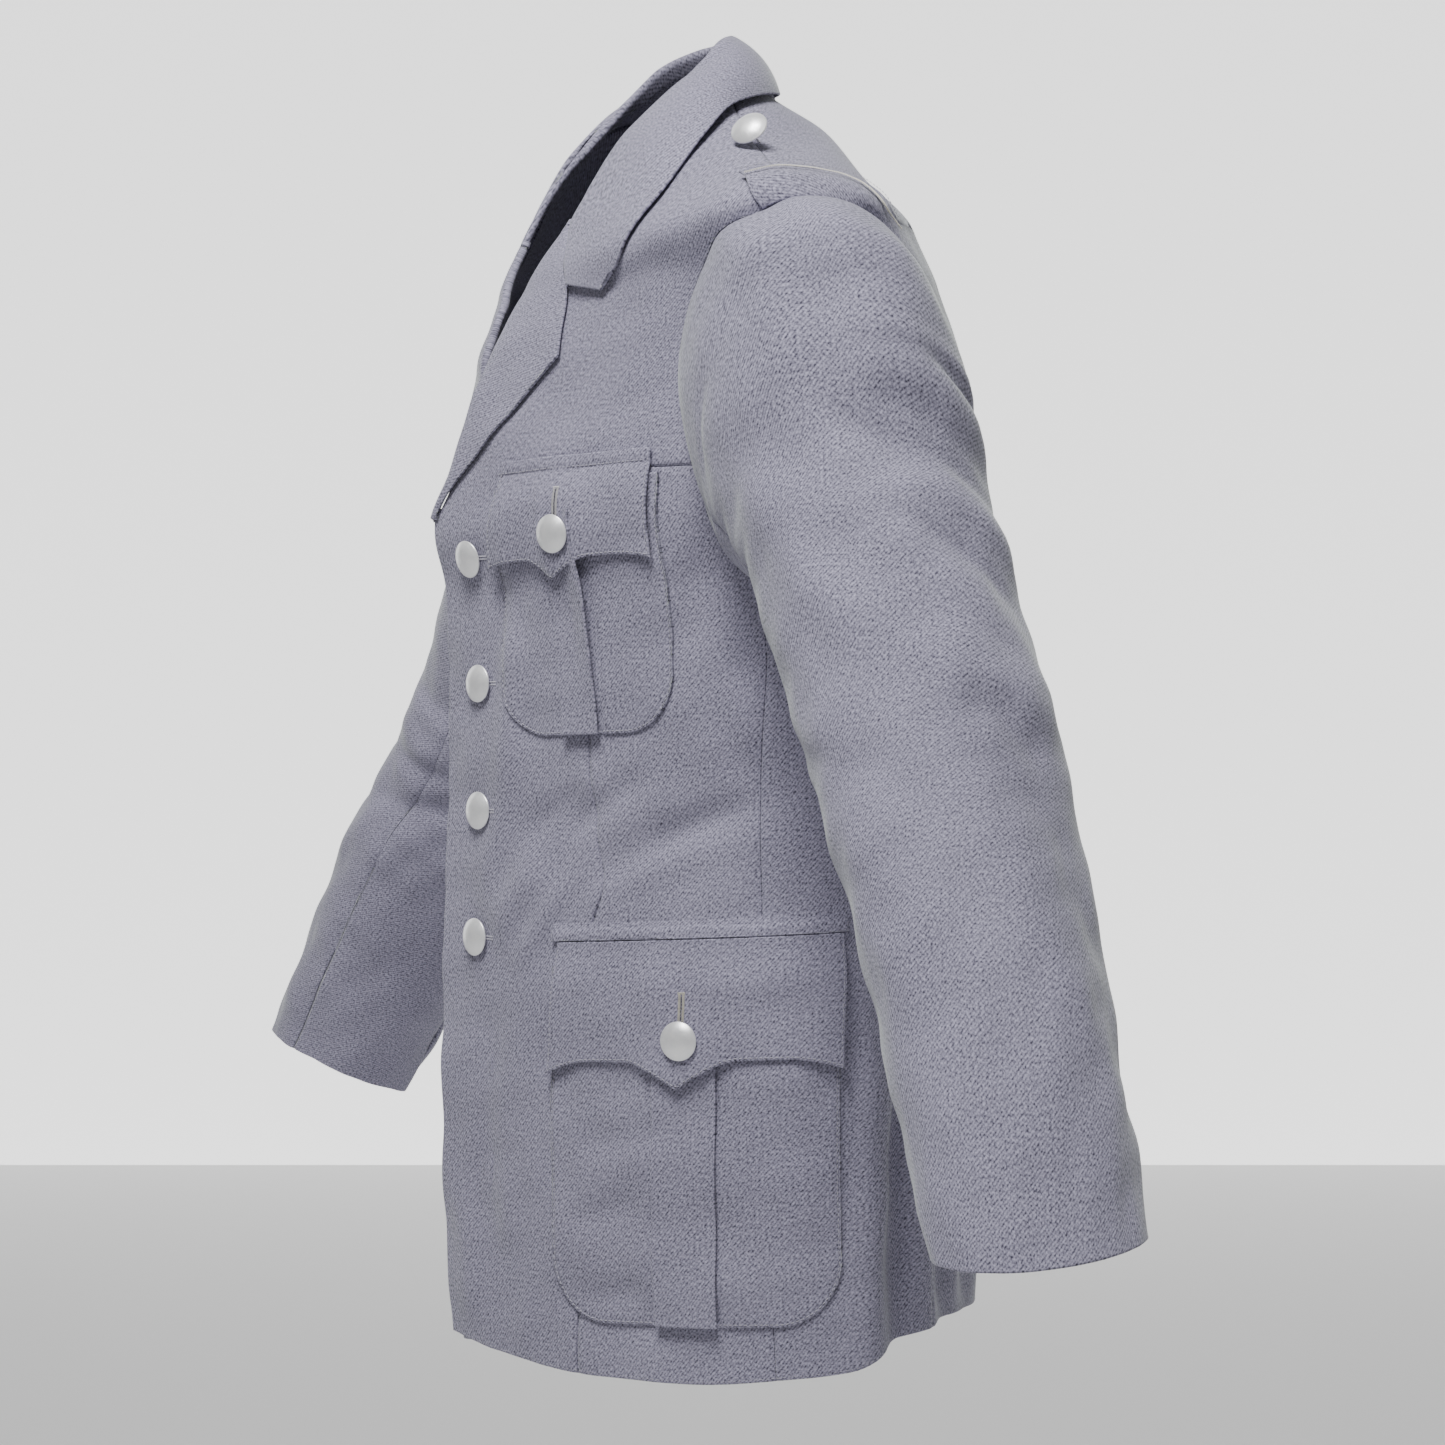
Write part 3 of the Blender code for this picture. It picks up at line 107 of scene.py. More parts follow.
# The armhole on the body: turn 0 is the shoulder's end, 90 the front, 180 under the arm
ARMHOLE_COLUMNS = ("turn", "round", "level")
ARMHOLE = (
    (0, 0.238, -0.0880), (20, 0.222, -0.0925), (40, 0.190, -0.1010), (60, 0.169, -0.134),
    (80, 0.164, -0.172), (100, 0.171, -0.205), (120, 0.184, -0.240), (140, 0.199, -0.275),
    (160, 0.222, -0.294), (180, 0.252, -0.298), (200, 0.282, -0.290), (220, 0.305, -0.262),
    (240, 0.314, -0.225), (260, 0.315, -0.185), (280, 0.310, -0.148), (300, 0.300, -0.118),
    (320, 0.286, -0.098), (340, 0.266, -0.089), (360, 0.238, -0.088),
)

# The sleeves: centre of each ring, its half sizes and how far it is tipped, in degrees
SLEEVE_COLUMNS = ("along", "x", "y", "z", "half_depth", "half_width", "out_rise", "front_rise")
LEFT_SLEEVE = (
    (0.00, 0.200, -0.004, -0.185, 0.078, 0.070, 40, 0),
    (0.30, 0.262, -0.011, -0.280, 0.069, 0.061, 34, 2),
    (0.50, 0.327, -0.0125, -0.383, 0.0665, 0.056, 32, 2),
    (0.70, 0.382, -0.017, -0.471, 0.062, 0.050, 24, 0),
    (1.00, 0.480, -0.035, -0.624, 0.053, 0.043, -3, -7),
)
RIGHT_SLEEVE = (
    (0.00, 0.200, -0.004, -0.185, 0.078, 0.070, 40, 0),
    (0.30, 0.262, 0.013, -0.280, 0.068, 0.061, 34, 2),
    (0.50, 0.327, 0.008, -0.383, 0.067, 0.056, 32, 8),
    (0.70, 0.385, -0.024, -0.471, 0.062, 0.050, 26, 16),
    (1.00, 0.480, -0.065, -0.622, 0.053, 0.043, 14, 22),
)
SLEEVE_HEAD = 0.30  # share of the sleeve's length over which the head turns into a tube
FRONT_SLEEVE_SEAM = 122  # turn of the seam on the inner front
BACK_SLEEVE_SEAM = 238
SLEEVE_GIRTH_PER_TURN = 0.068 * math.pi / 180  # metres of cloth for a degree of turn
SLEEVE_LENGTH = 0.56

# The largest folds: where, which way the crease runs, how long, how wide and how deep
FOLD_COLUMNS = ("round", "level", "slant", "length", "width", "depth")
LEFT_FOLDS = (
    (0.040, -0.365, 84, 0.100, 0.012, 0.0035),
    (0.050, -0.470, 50, 0.075, 0.012, 0.0045),
    (0.085, -0.440, 42, 0.060, 0.013, -0.0030),
    (0.150, -0.445, 28, 0.110, 0.018, -0.0040),
    (0.200, -0.320, 100, 0.080, 0.020, -0.0060),
    (0.000, -0.690, 96, 0.070, 0.012, 0.0030),
    (0.272, -0.640, 90, 0.220, 0.011, 0.0060),
    (0.298, -0.650, 88, 0.200, 0.013, -0.0065),
    (0.322, -0.640, 91, 0.200, 0.012, 0.0045),
    (0.352, -0.655, 90, 0.180, 0.016, -0.0060),
    (0.345, -0.440, 62, 0.090, 0.016, -0.0040),
    (0.440, -0.430, 20, 0.080, 0.014, -0.0030),
    (0.430, -0.640, 92, 0.180, 0.024, 0.0050),
    (0.380, -0.240, 70, 0.090, 0.016, -0.0040),
)
RIGHT_FOLDS = (
    (0.110, -0.100, 90, 0.150, 0.064, -0.0110),
    (0.105, -0.175, 90, 0.150, 0.060, -0.0070),
    (0.165, -0.150, 90, 0.160, 0.050, -0.0070),
    (0.060, -0.460, 46, 0.080, 0.013, 0.0040),
    (0.095, -0.430, 38, 0.060, 0.013, -0.0030),
    (0.160, -0.455, 24, 0.100, 0.018, -0.0035),
    (0.195, -0.330, 96, 0.090, 0.020, -0.0055),
    (0.276, -0.630, 91, 0.210, 0.012, 0.0050),
    (0.304, -0.650, 89, 0.190, 0.014, -0.0060),
    (0.330, -0.630, 92, 0.180, 0.012, 0.0040),
    (0.362, -0.660, 90, 0.170, 0.018, -0.0055),
    (0.350, -0.420, 58, 0.100, 0.016, -0.0040),
    (0.455, -0.450, 14, 0.090, 0.014, -0.0035),
    (0.450, -0.650, 88, 0.170, 0.026, 0.0050),
    (0.385, -0.225, 66, 0.080, 0.016, -0.0035),
)
SLEEVE_FOLD_COLUMNS = ("turn", "along", "slant", "length", "width", "depth")
LEFT_SLEEVE_FOLDS = (
    (355, 0.097, -20, 0.110, 0.0130, -0.0045),
    (335, 0.162, -6, 0.080, 0.0120, -0.0045),
    (338, 0.218, -15, 0.090, 0.0125, -0.0055),
    (346, 0.268, -18, 0.095, 0.0120, 0.0035),
    (338, 0.340, -23, 0.085, 0.0135, -0.0060),
    (344, 0.372, -30, 0.085, 0.0120, 0.0035),
    (11, 0.378, -43, 0.160, 0.0140, -0.0035),
    (41, 0.325, -64, 0.150, 0.0170, 0.0030),
    (66, 0.355, -70, 0.140, 0.0150, -0.0030),
    (342, 0.505, -19, 0.085, 0.0165, -0.0065),
    (349, 0.540, -44, 0.060, 0.0120, 0.0020),
    (180, 0.300, 8, 0.080, 0.0180, -0.0050),
)
RIGHT_SLEEVE_FOLDS = (
    (356, 0.100, -18, 0.105, 0.0130, -0.0040),
    (335, 0.168, -8, 0.080, 0.0120, -0.0042),
    (340, 0.226, -16, 0.085, 0.0125, -0.0050),
    (348, 0.278, -20, 0.090, 0.0120, 0.0035),
    (340, 0.352, -24, 0.080, 0.0135, -0.0050),
    (346, 0.384, -30, 0.080, 0.0120, 0.0030),
    (12, 0.390, -44, 0.150, 0.0140, -0.0030),
    (42, 0.335, -64, 0.150, 0.0170, 0.0028),
    (342, 0.515, -20, 0.080, 0.0165, -0.0055),
    (95, 0.520, 10, 0.080, 0.0170, -0.0050),
    (110, 0.460, -14, 0.080, 0.0160, 0.0040),
    (150, 0.580, -30, 0.120, 0.0220, 0.0030),
    (180, 0.290, 8, 0.080, 0.0180, -0.0050),
)

# The turned-down collar, from the centre back round to its front end
COLLAR_BACK_COLUMNS = ("share", "roll_x", "roll_y", "roll_z", "edge_x", "edge_y", "edge_z")
COLLAR_BACK = (
    (0.00, 0.000, 0.0225, 0.0400, 0.000, 0.0472, 0.0070),
    (0.12, 0.018, 0.0188, 0.0400, 0.0285, 0.0440, 0.0060),
    (0.24, 0.034, 0.0090, 0.0365, 0.055, 0.0320, 0.0020),
    (0.34, 0.0455, -0.0010, 0.0310, 0.0745, 0.0130, -0.0030),
    (0.46, 0.0540, -0.0155, 0.0165, 0.093, -0.0150, -0.0140),
    (0.58, 0.0525, -0.0330, -0.0035, 0.111, -0.0390, -0.0340),
    (0.66, 0.0480, -0.0500, -0.0220, 0.120, -0.0560, -0.0520),
    (0.76, 0.0420, -0.0690, -0.0415, 0.130, -0.0780, -0.0780),
)
COLLAR_FRONT_COLUMNS = ("share", "in_round", "in_level", "out_round", "out_level")
COLLAR_FRONT = (
    (0.46, 0.060, 0.000, 0.150, -0.020),
    (0.58, 0.055, 0.000, 0.144, -0.036),
    (0.70, 0.048, -0.012, 0.135, -0.056),
    (0.80, 0.044, -0.036, 0.128, -0.077),
    (0.90, 0.056, -0.072, 0.118, -0.098),
    (1.00, 0.0685, -0.110, 0.101, -0.121),
)
COLLAR_ON_BODY = (0.70, 0.80)  # between these shares the collar comes down on the chest
COLLAR_FLAT = (0.79, 0.87)  # and between these its fold flattens into the gorge seam
NECK_END = 0.80  # where the roll of the collar meets the neck seam
STAND_END = 0.66
STAND_CLEAR = 0.0024  # and starts this far above the inner edge of the neck
STAND_SHORT = 0.0020  # the stand stops this far under the roll
LIP_SHARE = 0.40  # most of the stand's height that the collar's fold reaches down inside it

# A fold's first rows, each a step across and a lift: over the stand, on the chest, and none
FOLD_OVER_STAND = ((-0.0009, -0.0095), (-0.0007, -0.0014), (0.0008, 0.0007),
                   (0.0024, -0.0014), (0.0046, -0.0066))
FOLD_ON_CHEST = ((0.0017, 0.0018), (-0.0002, 0.0020), (-0.0010, 0.0028),
                 (-0.0002, 0.0038), (0.0040, 0.0044))
NO_FOLD = ((0.0000, 0.0032), (0.0010, 0.0034), (0.0020, 0.0035), (0.0032, 0.0036), (0.0050, 0.0036))
ROLL_GAP = 0.0011  # from the front panel's edge to the fold of the lapel
NECK_CLEAR = 0.0120  # the front stops this much sooner under the collar
LEAF_EDGE_LIFT = 0.0039  # inner face of a lapel's edge over the inner face of the front

LAPEL_COLUMNS = ("level", "round")
LAPEL_EDGE = (  # most rows lie on the front's own rows
    (-0.2500, -0.0160), (-0.2415, -0.0100), (-0.231, 0.001), (-0.212, 0.022), (-0.192, 0.043),
    (-0.172, 0.062), (-0.160, 0.075), (-0.150, 0.0733), (-0.128, 0.0697), (-0.112, 0.0665),
    (-0.088, 0.0583), (-0.070, 0.0525), (-0.050, 0.0440), (-0.044, 0.0405),
)

# Pockets: the edges as distances round, the levels, and how far the top edge climbs outwards
POCKET_COLUMNS = ("left", "right", "top", "bottom", "corner", "climb", "flap_left", "flap_right",
                  "flap_top", "flap_side", "flap_dip", "flap_tip", "tip_round",
                  "pleat_width", "pleat_top_round", "pleat_foot_round", "button_level",
                  "button_round", "flap_lean")
POCKETS = {
    "breast": (0.036, 0.158, -0.236, -0.382, 0.032, 0.030, 0.0375, 0.153,
               -0.2215, -0.2830, 0.0030, -0.2915, 0.0875,
               0.026, 0.089, 0.097, -0.266,
               0.0915, 0.0100),
    "lower": (0.0755, 0.2545, -0.5105, -0.7150, 0.036, 0.052, 0.0765, 0.2560,
              -0.4970, -0.5730, 0.0070, -0.5815, 0.165,
              0.039, 0.167, 0.1655, -0.5535,
              0.1665, 0.0040),
}
FRONT_BUTTON_LEVELS = (-0.278, -0.352, -0.427, -0.5015)
FRONT_BUTTON_ROUND = 0.011
LOOP_WIDTH = 0.029
LOOP_INSET = 0.0035
LOOP_LIFT = 0.0066
LOOP_TURNS = (19, -58)  # from this turn of the armhole, over the shoulder, to this one
SHOULDER_BUTTON_LEVEL = -0.045
SHOULDER_BUTTON_AXIS = (0.515, -0.682, 0.520)
SHANK = 0.0100
SET_BACK = 0.019  # how much further back the right shoulder sits than the left one


def table(rows, columns):
    """Columns of a table by name."""
    values = np.array(rows, float)
    return {name: values[:, i] for i, name in enumerate(columns)}


def smooth_at(x, at, values):
    """Cubic through the values whose slopes are limited, so that it never overshoots."""
    at, values = np.asarray(at, float), np.asarray(values, float)
    step = np.diff(at)
    slope = np.diff(values) / step
    tangent = np.concatenate([slope[:1], np.zeros(len(slope) - 1), slope[-1:]])
    same = slope[:-1] * slope[1:] > 0
    before, after = 2 * step[1:] + step[:-1], step[1:] + 2 * step[:-1]
    tangent[1:-1][same] = (before + after)[same] / (
        before[same] / slope[:-1][same] + after[same] / slope[1:][same])
    x = np.clip(np.asarray(x, float), at[0], at[-1])
    i = np.clip(np.searchsorted(at, x) - 1, 0, len(at) - 2)
    t = (x - at[i]) / step[i]
    return ((1 + 2 * t) * (1 - t) ** 2 * values[i] + t * (1 - t) ** 2 * step[i] * tangent[i]
            + t * t * (3 - 2 * t) * values[i + 1] - t * t * (1 - t) * step[i] * tangent[i + 1])


def eased(x, first, last):
    """0 up to the first value, 1 from the last, and smooth between them."""
    t = np.clip((x - first) / (last - first), 0, 1)
    return t * t * (3 - 2 * t)


def edge_at(level, rows):
    """Distance round of a seam or an edge at a level."""
    t = table(rows, EDGE_COLUMNS)
    return smooth_at(level, t["level"], t["round"])


def unit(v):
    return v / np.maximum(np.linalg.norm(v, axis=-1, keepdims=True), 1e-12)


def grid_normals(points):
    """Outward normals of a grid whose columns run round to the left and whose rows climb."""
    return unit(np.cross(np.gradient(points, axis=1), np.gradient(points, axis=0)))


# The body

OVERLAP_FROM = 0.006  # the front edge runs on straight from here
RING_TABLE = table(RINGS, RING_COLUMNS)
BODY_LEVELS = np.linspace(RINGS[0][0], RINGS[-1][0], 300)
BODY_ROUNDS = np.linspace(-0.08, 1.0, 420)
RING_ANGLES = np.linspace(0, math.pi, 721)


def ring_at(level):
    return {c: float(smooth_at(level, RING_TABLE["level"], RING_TABLE[c])) for c in RING_COLUMNS}


def ring_outline(level):
    """Half of a ring, from the centre front to the centre back."""
    r = ring_at(level)
    c, s = np.cos(RING_ANGLES), np.sin(RING_ANGLES)
    front = c >= 0
    x = r["half_width"] * s ** np.where(front, 2 / r["nose"], 2 / r["back_round"])
    reach = np.where(front, r["front_y"] - r["side_y"], r["back_y"] - r["side_y"])
    y = r["side_y"] + reach * np.abs(c) ** np.where(front, 2 / r["front_round"], 2 / r["back_round"])
    z = r["level"] - c * c * np.where(front, r["front_drop"], r["back_drop"])
    return np.stack([x, y, z], -1)


def lengths_along(points):
    steps = np.linalg.norm(np.diff(points, axis=0), axis=1)
    return np.concatenate([[0.0], np.cumsum(steps)])


def ring_points(level, share):
    """Points of a ring at shares of its half girth; below nought the front edge runs straight on."""
    outline = ring_outline(level)
    along = lengths_along(outline)
    at = share * along[-1]
    points = np.stack([np.interp(at, along, outline[:, k]) for k in range(3)], -1)
    start = np.array([np.interp(OVERLAP_FROM, along, outline[:, k]) for k in range(3)])
    ahead = np.array([np.interp(2 * OVERLAP_FROM, along, outline[:, k]) for k in range(3)])
    straight = start + (at - OVERLAP_FROM)[:, None] * unit(ahead - start)
    return np.where((at < OVERLAP_FROM)[:, None], straight, points)


HALF_GIRTHS = np.array([lengths_along(ring_outline(level))[-1] for level in BODY_LEVELS])
SIDE_ROUNDS = np.array([lengths_along(ring_outline(level))[len(RING_ANGLES) // 2]
                        for level in BODY_LEVELS])


def set_back(points):
    """Places of the right half, mirrored to the left, with its shoulder set back."""
    x, level = points[..., 0], points[..., 2]
    share = eased(x, 0.030, 0.120) * eased(level, -0.300, -0.110)
    return points + (SET_BACK * share)[..., None] * (0, 1, 0)


def half_girth(level):
    return np.interp(level, BODY_LEVELS, HALF_GIRTHS)


def shoulder_seam(level):
    """Distance round of the ridge of the shoulder."""
    return np.interp(level, BODY_LEVELS, SIDE_ROUNDS)


def fold_height(round_, level, folds):
    """Sum of the folds: each is a soft ridge or trough along its crease."""
    height = np.zeros(np.broadcast(round_, level).shape)
    for row in folds:
        f = dict(zip(FOLD_COLUMNS, row))
        a = math.radians(f["slant"])
        dx, dy = round_ - f["round"], level - f["level"]
        along, across = dx * math.cos(a) + dy * math.sin(a), dy * math.cos(a) - dx * math.sin(a)
        height += f["depth"] * np.exp(-(across / f["width"]) ** 2 - (2 * along / f["length"]) ** 4)
    return height


def make_body(folds):
    """Inner face of the left half, and its outward normals, on a fine grid."""
    points = np.array([ring_points(level, BODY_ROUNDS) for level in BODY_LEVELS])
    rounds = BODY_ROUNDS[None, :] * HALF_GIRTHS[:, None]
    height = fold_height(rounds, BODY_LEVELS[:, None], folds)
    points = points + height[..., None] * grid_normals(points)
    return {"points": points, "normals": grid_normals(points)}


LAP_COLUMNS = ("level", "depth", "follow")
LAP = (  # how far the right front lies under the left one, and how nearly it follows its line
    (-0.765, 0.0036, 1.00), (-0.350, 0.0036, 1.00), (-0.310, 0.0040, 0.75), (-0.256, 0.0074, 0.25),
    (-0.215, 0.0074, 0.00), (-0.185, 0.0074, 0.00), (-0.150, 0.0000, 0.00), (0.000, 0.0000, 0.00),
)
LAP_REACH = (0.000, 0.045)  # the right front follows the left one to here, and is free of it by here
SINK_REACH = 0.045


def lap_under(body, over):
    """The right half, its front lying under the left front and just clear of it."""
    t = table(LAP, LAP_COLUMNS)
    level = np.repeat(BODY_LEVELS[:, None], len(BODY_ROUNDS), axis=1)
    round_ = BODY_ROUNDS[None, :] * HALF_GIRTHS[:, None]
    depth, follow = smooth_at(level, t["level"], t["depth"]), smooth_at(level, t["level"], t["follow"])
    across = body_at(over, -np.minimum(round_, 0.040), level) * (-1, 1, 1) + depth[..., None] * (0, 1, 0)
    sunk = body["points"] + (depth * (1 - eased(round_, 0, SINK_REACH)))[..., None] * (0, 1, 0)
    share = np.where(round_ < 0, 1, follow * (1 - eased(round_, *LAP_REACH)))[..., None]
    points = sunk * (1 - share) + across * share
    return {"points": points, "normals": grid_normals(points)}


def body_at(body, round_, level, lift=0.0):
    """Places on the body, lifted off its inner face."""
    round_, level = np.broadcast_arrays(np.asarray(round_, float), np.asarray(level, float))
    share = round_ / half_girth(level)
    i = np.interp(level, BODY_LEVELS, np.arange(len(BODY_LEVELS)))
    j = np.interp(share, BODY_ROUNDS, np.arange(len(BODY_ROUNDS)))
    i0 = np.minimum(i.astype(int), len(BODY_LEVELS) - 2)
    j0 = np.minimum(j.astype(int), len(BODY_ROUNDS) - 2)
    u, v = (i - i0)[..., None], (j - j0)[..., None]

    def mixed(values):
        return ((1 - u) * ((1 - v) * values[i0, j0] + v * values[i0, j0 + 1])
                + u * ((1 - v) * values[i0 + 1, j0] + v * values[i0 + 1, j0 + 1]))

    lift = np.asarray(lift, float)
    return mixed(body["points"]) + lift[..., None] * unit(mixed(body["normals"]))


def hem_level(level, round_):
    """A ring's level with the shape of the hem let in towards the bottom."""
    t = table(HEM_LINE, HEM_COLUMNS)
    rise = smooth_at(round_, t["round"], t["rise"])
    fade = np.clip(1 - (level - HEM_LEVEL) / HEM_FADE, 0, 1)
    return level + rise * fade


# The sleeves


def armhole_places(turn):
    """Distance round and level of the armhole at turns in degrees."""
    t = table(ARMHOLE, ARMHOLE_COLUMNS)
    at = np.asarray(turn, float) % 360
    last = len(ARMHOLE) - 1
    i = np.minimum(np.searchsorted(t["turn"], at, side="right") - 1, last - 1)
    u = (at - t["turn"][i]) / (t["turn"][i + 1] - t["turn"][i])

    def through(values):
        before, here = values[(i - 1) % last], values[i]
        there, after = values[i + 1], values[(i + 2) % last]
        return here + 0.5 * u * (there - before + u * (
            2 * before - 5 * here + 4 * there - after + u * (3 * (here - there) + after - before)))

    return through(t["round"]), through(t["level"])


ARMHOLE_CENTRE = (0.240, -0.190)
HEAD_LIFT = 0.0027  # the sleeve's inner face at the seam stands this far off the body's
HEAD_INSET = 0.0014  # and this far inside the armhole's line
HEAD_SWELL = {"left": (0.35, 0.10), "right": (0.00, 0.10)}  # how far the head swells forward and back


def sleeve_ring(t, turn, along):
    """Points of the sleeve's rings, each an ellipse in a tipped plane."""
    g = {c: smooth_at(along, t["along"], t[c]) for c in SLEEVE_COLUMNS}
    rise, front, a = np.radians(g["out_rise"]), np.radians(g["front_rise"]), np.radians(turn)
    out = np.stack([np.cos(rise), 0 * rise, np.sin(rise)], -1)
    ahead = np.stack([0 * front, -np.cos(front), np.sin(front)], -1)
    centre = np.stack([g["x"], g["y"], g["z"]], -1)
    return (centre + (g["half_width"] * np.cos(a))[..., None] * out
            + (g["half_depth"] * np.sin(a))[..., None] * ahead)


def sleeve_surface(body, rows, swell, turn, along):
    """Inner face of the left sleeve; turn 0 is on top, 90 in front, 180 under the arm."""
    turn, along = np.broadcast_arrays(np.asarray(turn, float), np.asarray(along, float))
    t = table(rows, SLEEVE_COLUMNS)
    tube = sleeve_ring(t, turn, np.maximum(along, SLEEVE_HEAD))
    end = sleeve_ring(t, turn, np.full(along.shape, SLEEVE_HEAD))
    down = unit(sleeve_ring(t, turn, np.full(along.shape, SLEEVE_HEAD + 0.01)) - end)
    round_, level = armhole_places(turn)
    inwards = unit(np.stack([ARMHOLE_CENTRE[0] - round_, ARMHOLE_CENTRE[1] - level], -1))
    seam = body_at(body, round_ + HEAD_INSET * inwards[..., 0], level + HEAD_INSET * inwards[..., 1],
                   HEAD_LIFT)
    a = np.radians(turn)
    sideways = np.where(np.sin(a) > 0, swell[0], swell[1]) * np.sin(a)
    away = unit(np.stack([0.72 + 0.22 * np.cos(a), -sideways, -0.40 + 0.45 * np.cos(a)], -1))
    reach = np.linalg.norm(end - seam, axis=-1, keepdims=True)
    u = np.clip(along / SLEEVE_HEAD, 0, 1)[..., None]
    head = ((1 + 2 * u) * (1 - u) ** 2 * seam + u * (1 - u) ** 2 * away * reach
            + u * u * (3 - 2 * u) * end - u * u * (1 - u) * down * reach)
    return np.where(along[..., None] < SLEEVE_HEAD, head, tube)


def sleeve_fold_height(turn, along, folds):
    height = np.zeros(np.broadcast(turn, along).shape)
    for row in folds:
        f = dict(zip(SLEEVE_FOLD_COLUMNS, row))
        a = math.radians(f["slant"])
        dx = ((turn - f["turn"] + 180) % 360 - 180) * SLEEVE_GIRTH_PER_TURN
        dy = (along - f["along"]) * SLEEVE_LENGTH
        on, across = dx * math.cos(a) + dy * math.sin(a), dy * math.cos(a) - dx * math.sin(a)
        height += f["depth"] * np.exp(-(across / f["width"]) ** 2 - (2 * on / f["length"]) ** 4)
    return height * np.clip(along / 0.12, 0, 1) * np.clip((1 - along) / 0.1, 0, 1)


def sleeve_at(body, rows, folds, swell, turn, along):
    """Inner face of the left sleeve with its folds."""
    turn, along = np.broadcast_arrays(np.asarray(turn, float), np.asarray(along, float))
    on = np.clip(along, 0.005, 0.995)

    def place(t, a):
        return sleeve_surface(body, rows, swell, t, a)

    outward = unit(np.cross(place(turn, on + 0.005) - place(turn, on - 0.005),
                            place(turn + 1, along) - place(turn - 1, along)))
    return place(turn, along) + sleeve_fold_height(turn, along, folds)[..., None] * outward


ARMHOLE_LOW = -0.305  # just under the foot of the armhole
TURNS = np.linspace(0, 360, 721)


def armhole_edge(level, front):
    """Distance round of the armhole's front or back edge at a level."""
    turn = TURNS[(TURNS > 1) & (TURNS < 178)] if front else TURNS[(TURNS > 182) & (TURNS < 359)][::-1]
    round_, at = armhole_places(turn)
    order = np.argsort(at)
    return np.interp(level, at[order], round_[order])


def armhole_foot(round_):
    """Level of the armhole's lower edge at a distance round."""
    turn = TURNS[(TURNS > 120) & (TURNS < 240)]
    at, level = armhole_places(turn)
    return np.interp(round_, at, level)


COLLAR_SHARES = np.concatenate([np.linspace(0, 0.46, 52), np.linspace(0.47, 1.0, 66)])
COLLAR_BULGE = 0.0032


def neck_lines(body, share):
    """The roll of the collar and, under it, the neck seam."""
    t = table(COLLAR_BACK, COLLAR_BACK_COLUMNS)
    roll = np.stack([smooth_at(share, t["share"], t["roll_" + k]) for k in "xyz"], -1)
    round_ = np.interp(share, (0, NECK_END), (float(half_girth(NECK_LEVEL)), ROLL_LINE[-1][1]))
    return roll, body_at(body, round_, NECK_LEVEL) + (0, 0, STAND_CLEAR)


def collar_half(body, leaf):
    """Half of the fall, from the centre back to its left front end, fold first."""
    back, front = table(COLLAR_BACK, COLLAR_BACK_COLUMNS), table(COLLAR_FRONT, COLLAR_FRONT_COLUMNS)
    share = COLLAR_SHARES[None, :]

    def read(t, name):
        return smooth_at(share, t["share"], t[name])

    over, chest, flat = (along_fold(fold, 15) for fold in (FOLD_OVER_STAND, FOLD_ON_CHEST, NO_FOLD))
    edge = np.stack([read(back, "edge_" + k) for k in "xyz"], -1)
    roll, foot = neck_lines(body, share)
    up = unit(roll - foot)
    out = unit(np.cross(up, np.gradient(roll, axis=1)))
    height = np.linalg.norm(roll - foot, axis=-1, keepdims=True)
    drops = np.maximum(over[:, None, 1:], -LIP_SHARE * height)
    folded = roll + over[:, None, :1] * out + drops * up
    w = leaf[:, None, None]
    swell = COLLAR_BULGE * (1 + share[..., None]) * 4 * w * (1 - w)
    hung = folded[-1:] * (1 - w) + edge * w + swell * out
    hung = np.concatenate([folded, hung])

    ends = [read(front, name) for name in COLLAR_FRONT_COLUMNS[1:]]
    length = np.hypot(ends[2] - ends[0], ends[3] - ends[1])
    level_out = eased(share, *COLLAR_FLAT)[..., None]
    first = chest[:, None] * (1 - level_out) + flat[:, None] * level_out
    steps = np.concatenate([first[..., 0], first[-1:, :, 0] + (length - first[-1:, :, 0]) * leaf[:, None]])
    lifts = np.concatenate([first[..., 1],
                            first[-1:, :, 1] + (LEAF_EDGE_LIFT - first[-1:, :, 1]) * leaf[:, None]])
    rounds = ends[0] + (ends[2] - ends[0]) / length * steps
    levels = ends[1] + (ends[3] - ends[1]) / length * steps
    laid = body_at(body, rounds, levels, lifts)
    mix = eased(share, *COLLAR_ON_BODY)[..., None]
    return hung * (1 - mix) + laid * mix


def stand_half(body, heights):
    """Half of the stand, from the neck seam up to the roll."""
    share = COLLAR_SHARES[COLLAR_SHARES < STAND_END]
    roll, foot = neck_lines(body, share)
    top = roll - STAND_SHORT * unit(roll - foot)
    return foot * (1 - heights[:, None, None]) + top * heights[:, None, None]


POCKET_LIFT = WALL + 0.0015
PLEAT_LIFT = POCKET_LIFT + FACING_WALL + 0.0008
FLAP_LIFT = PLEAT_LIFT + FACING_WALL + 0.0010


def pocket_row(kind):
    return dict(zip(POCKET_COLUMNS, POCKETS[kind]))


def pocket_bottom(p, round_):
    """Level of the pocket's lower edge: level in the middle and round at the corners."""
    inset = np.minimum(round_ - p["left"], p["right"] - round_)
    short = np.clip(p["corner"] - inset, 0, p["corner"])
    return p["bottom"] + p["corner"] - np.sqrt(p["corner"] ** 2 - short ** 2)


def climb(p, round_):
    return p["climb"] * (round_ - (p["left"] + p["right"]) / 2)


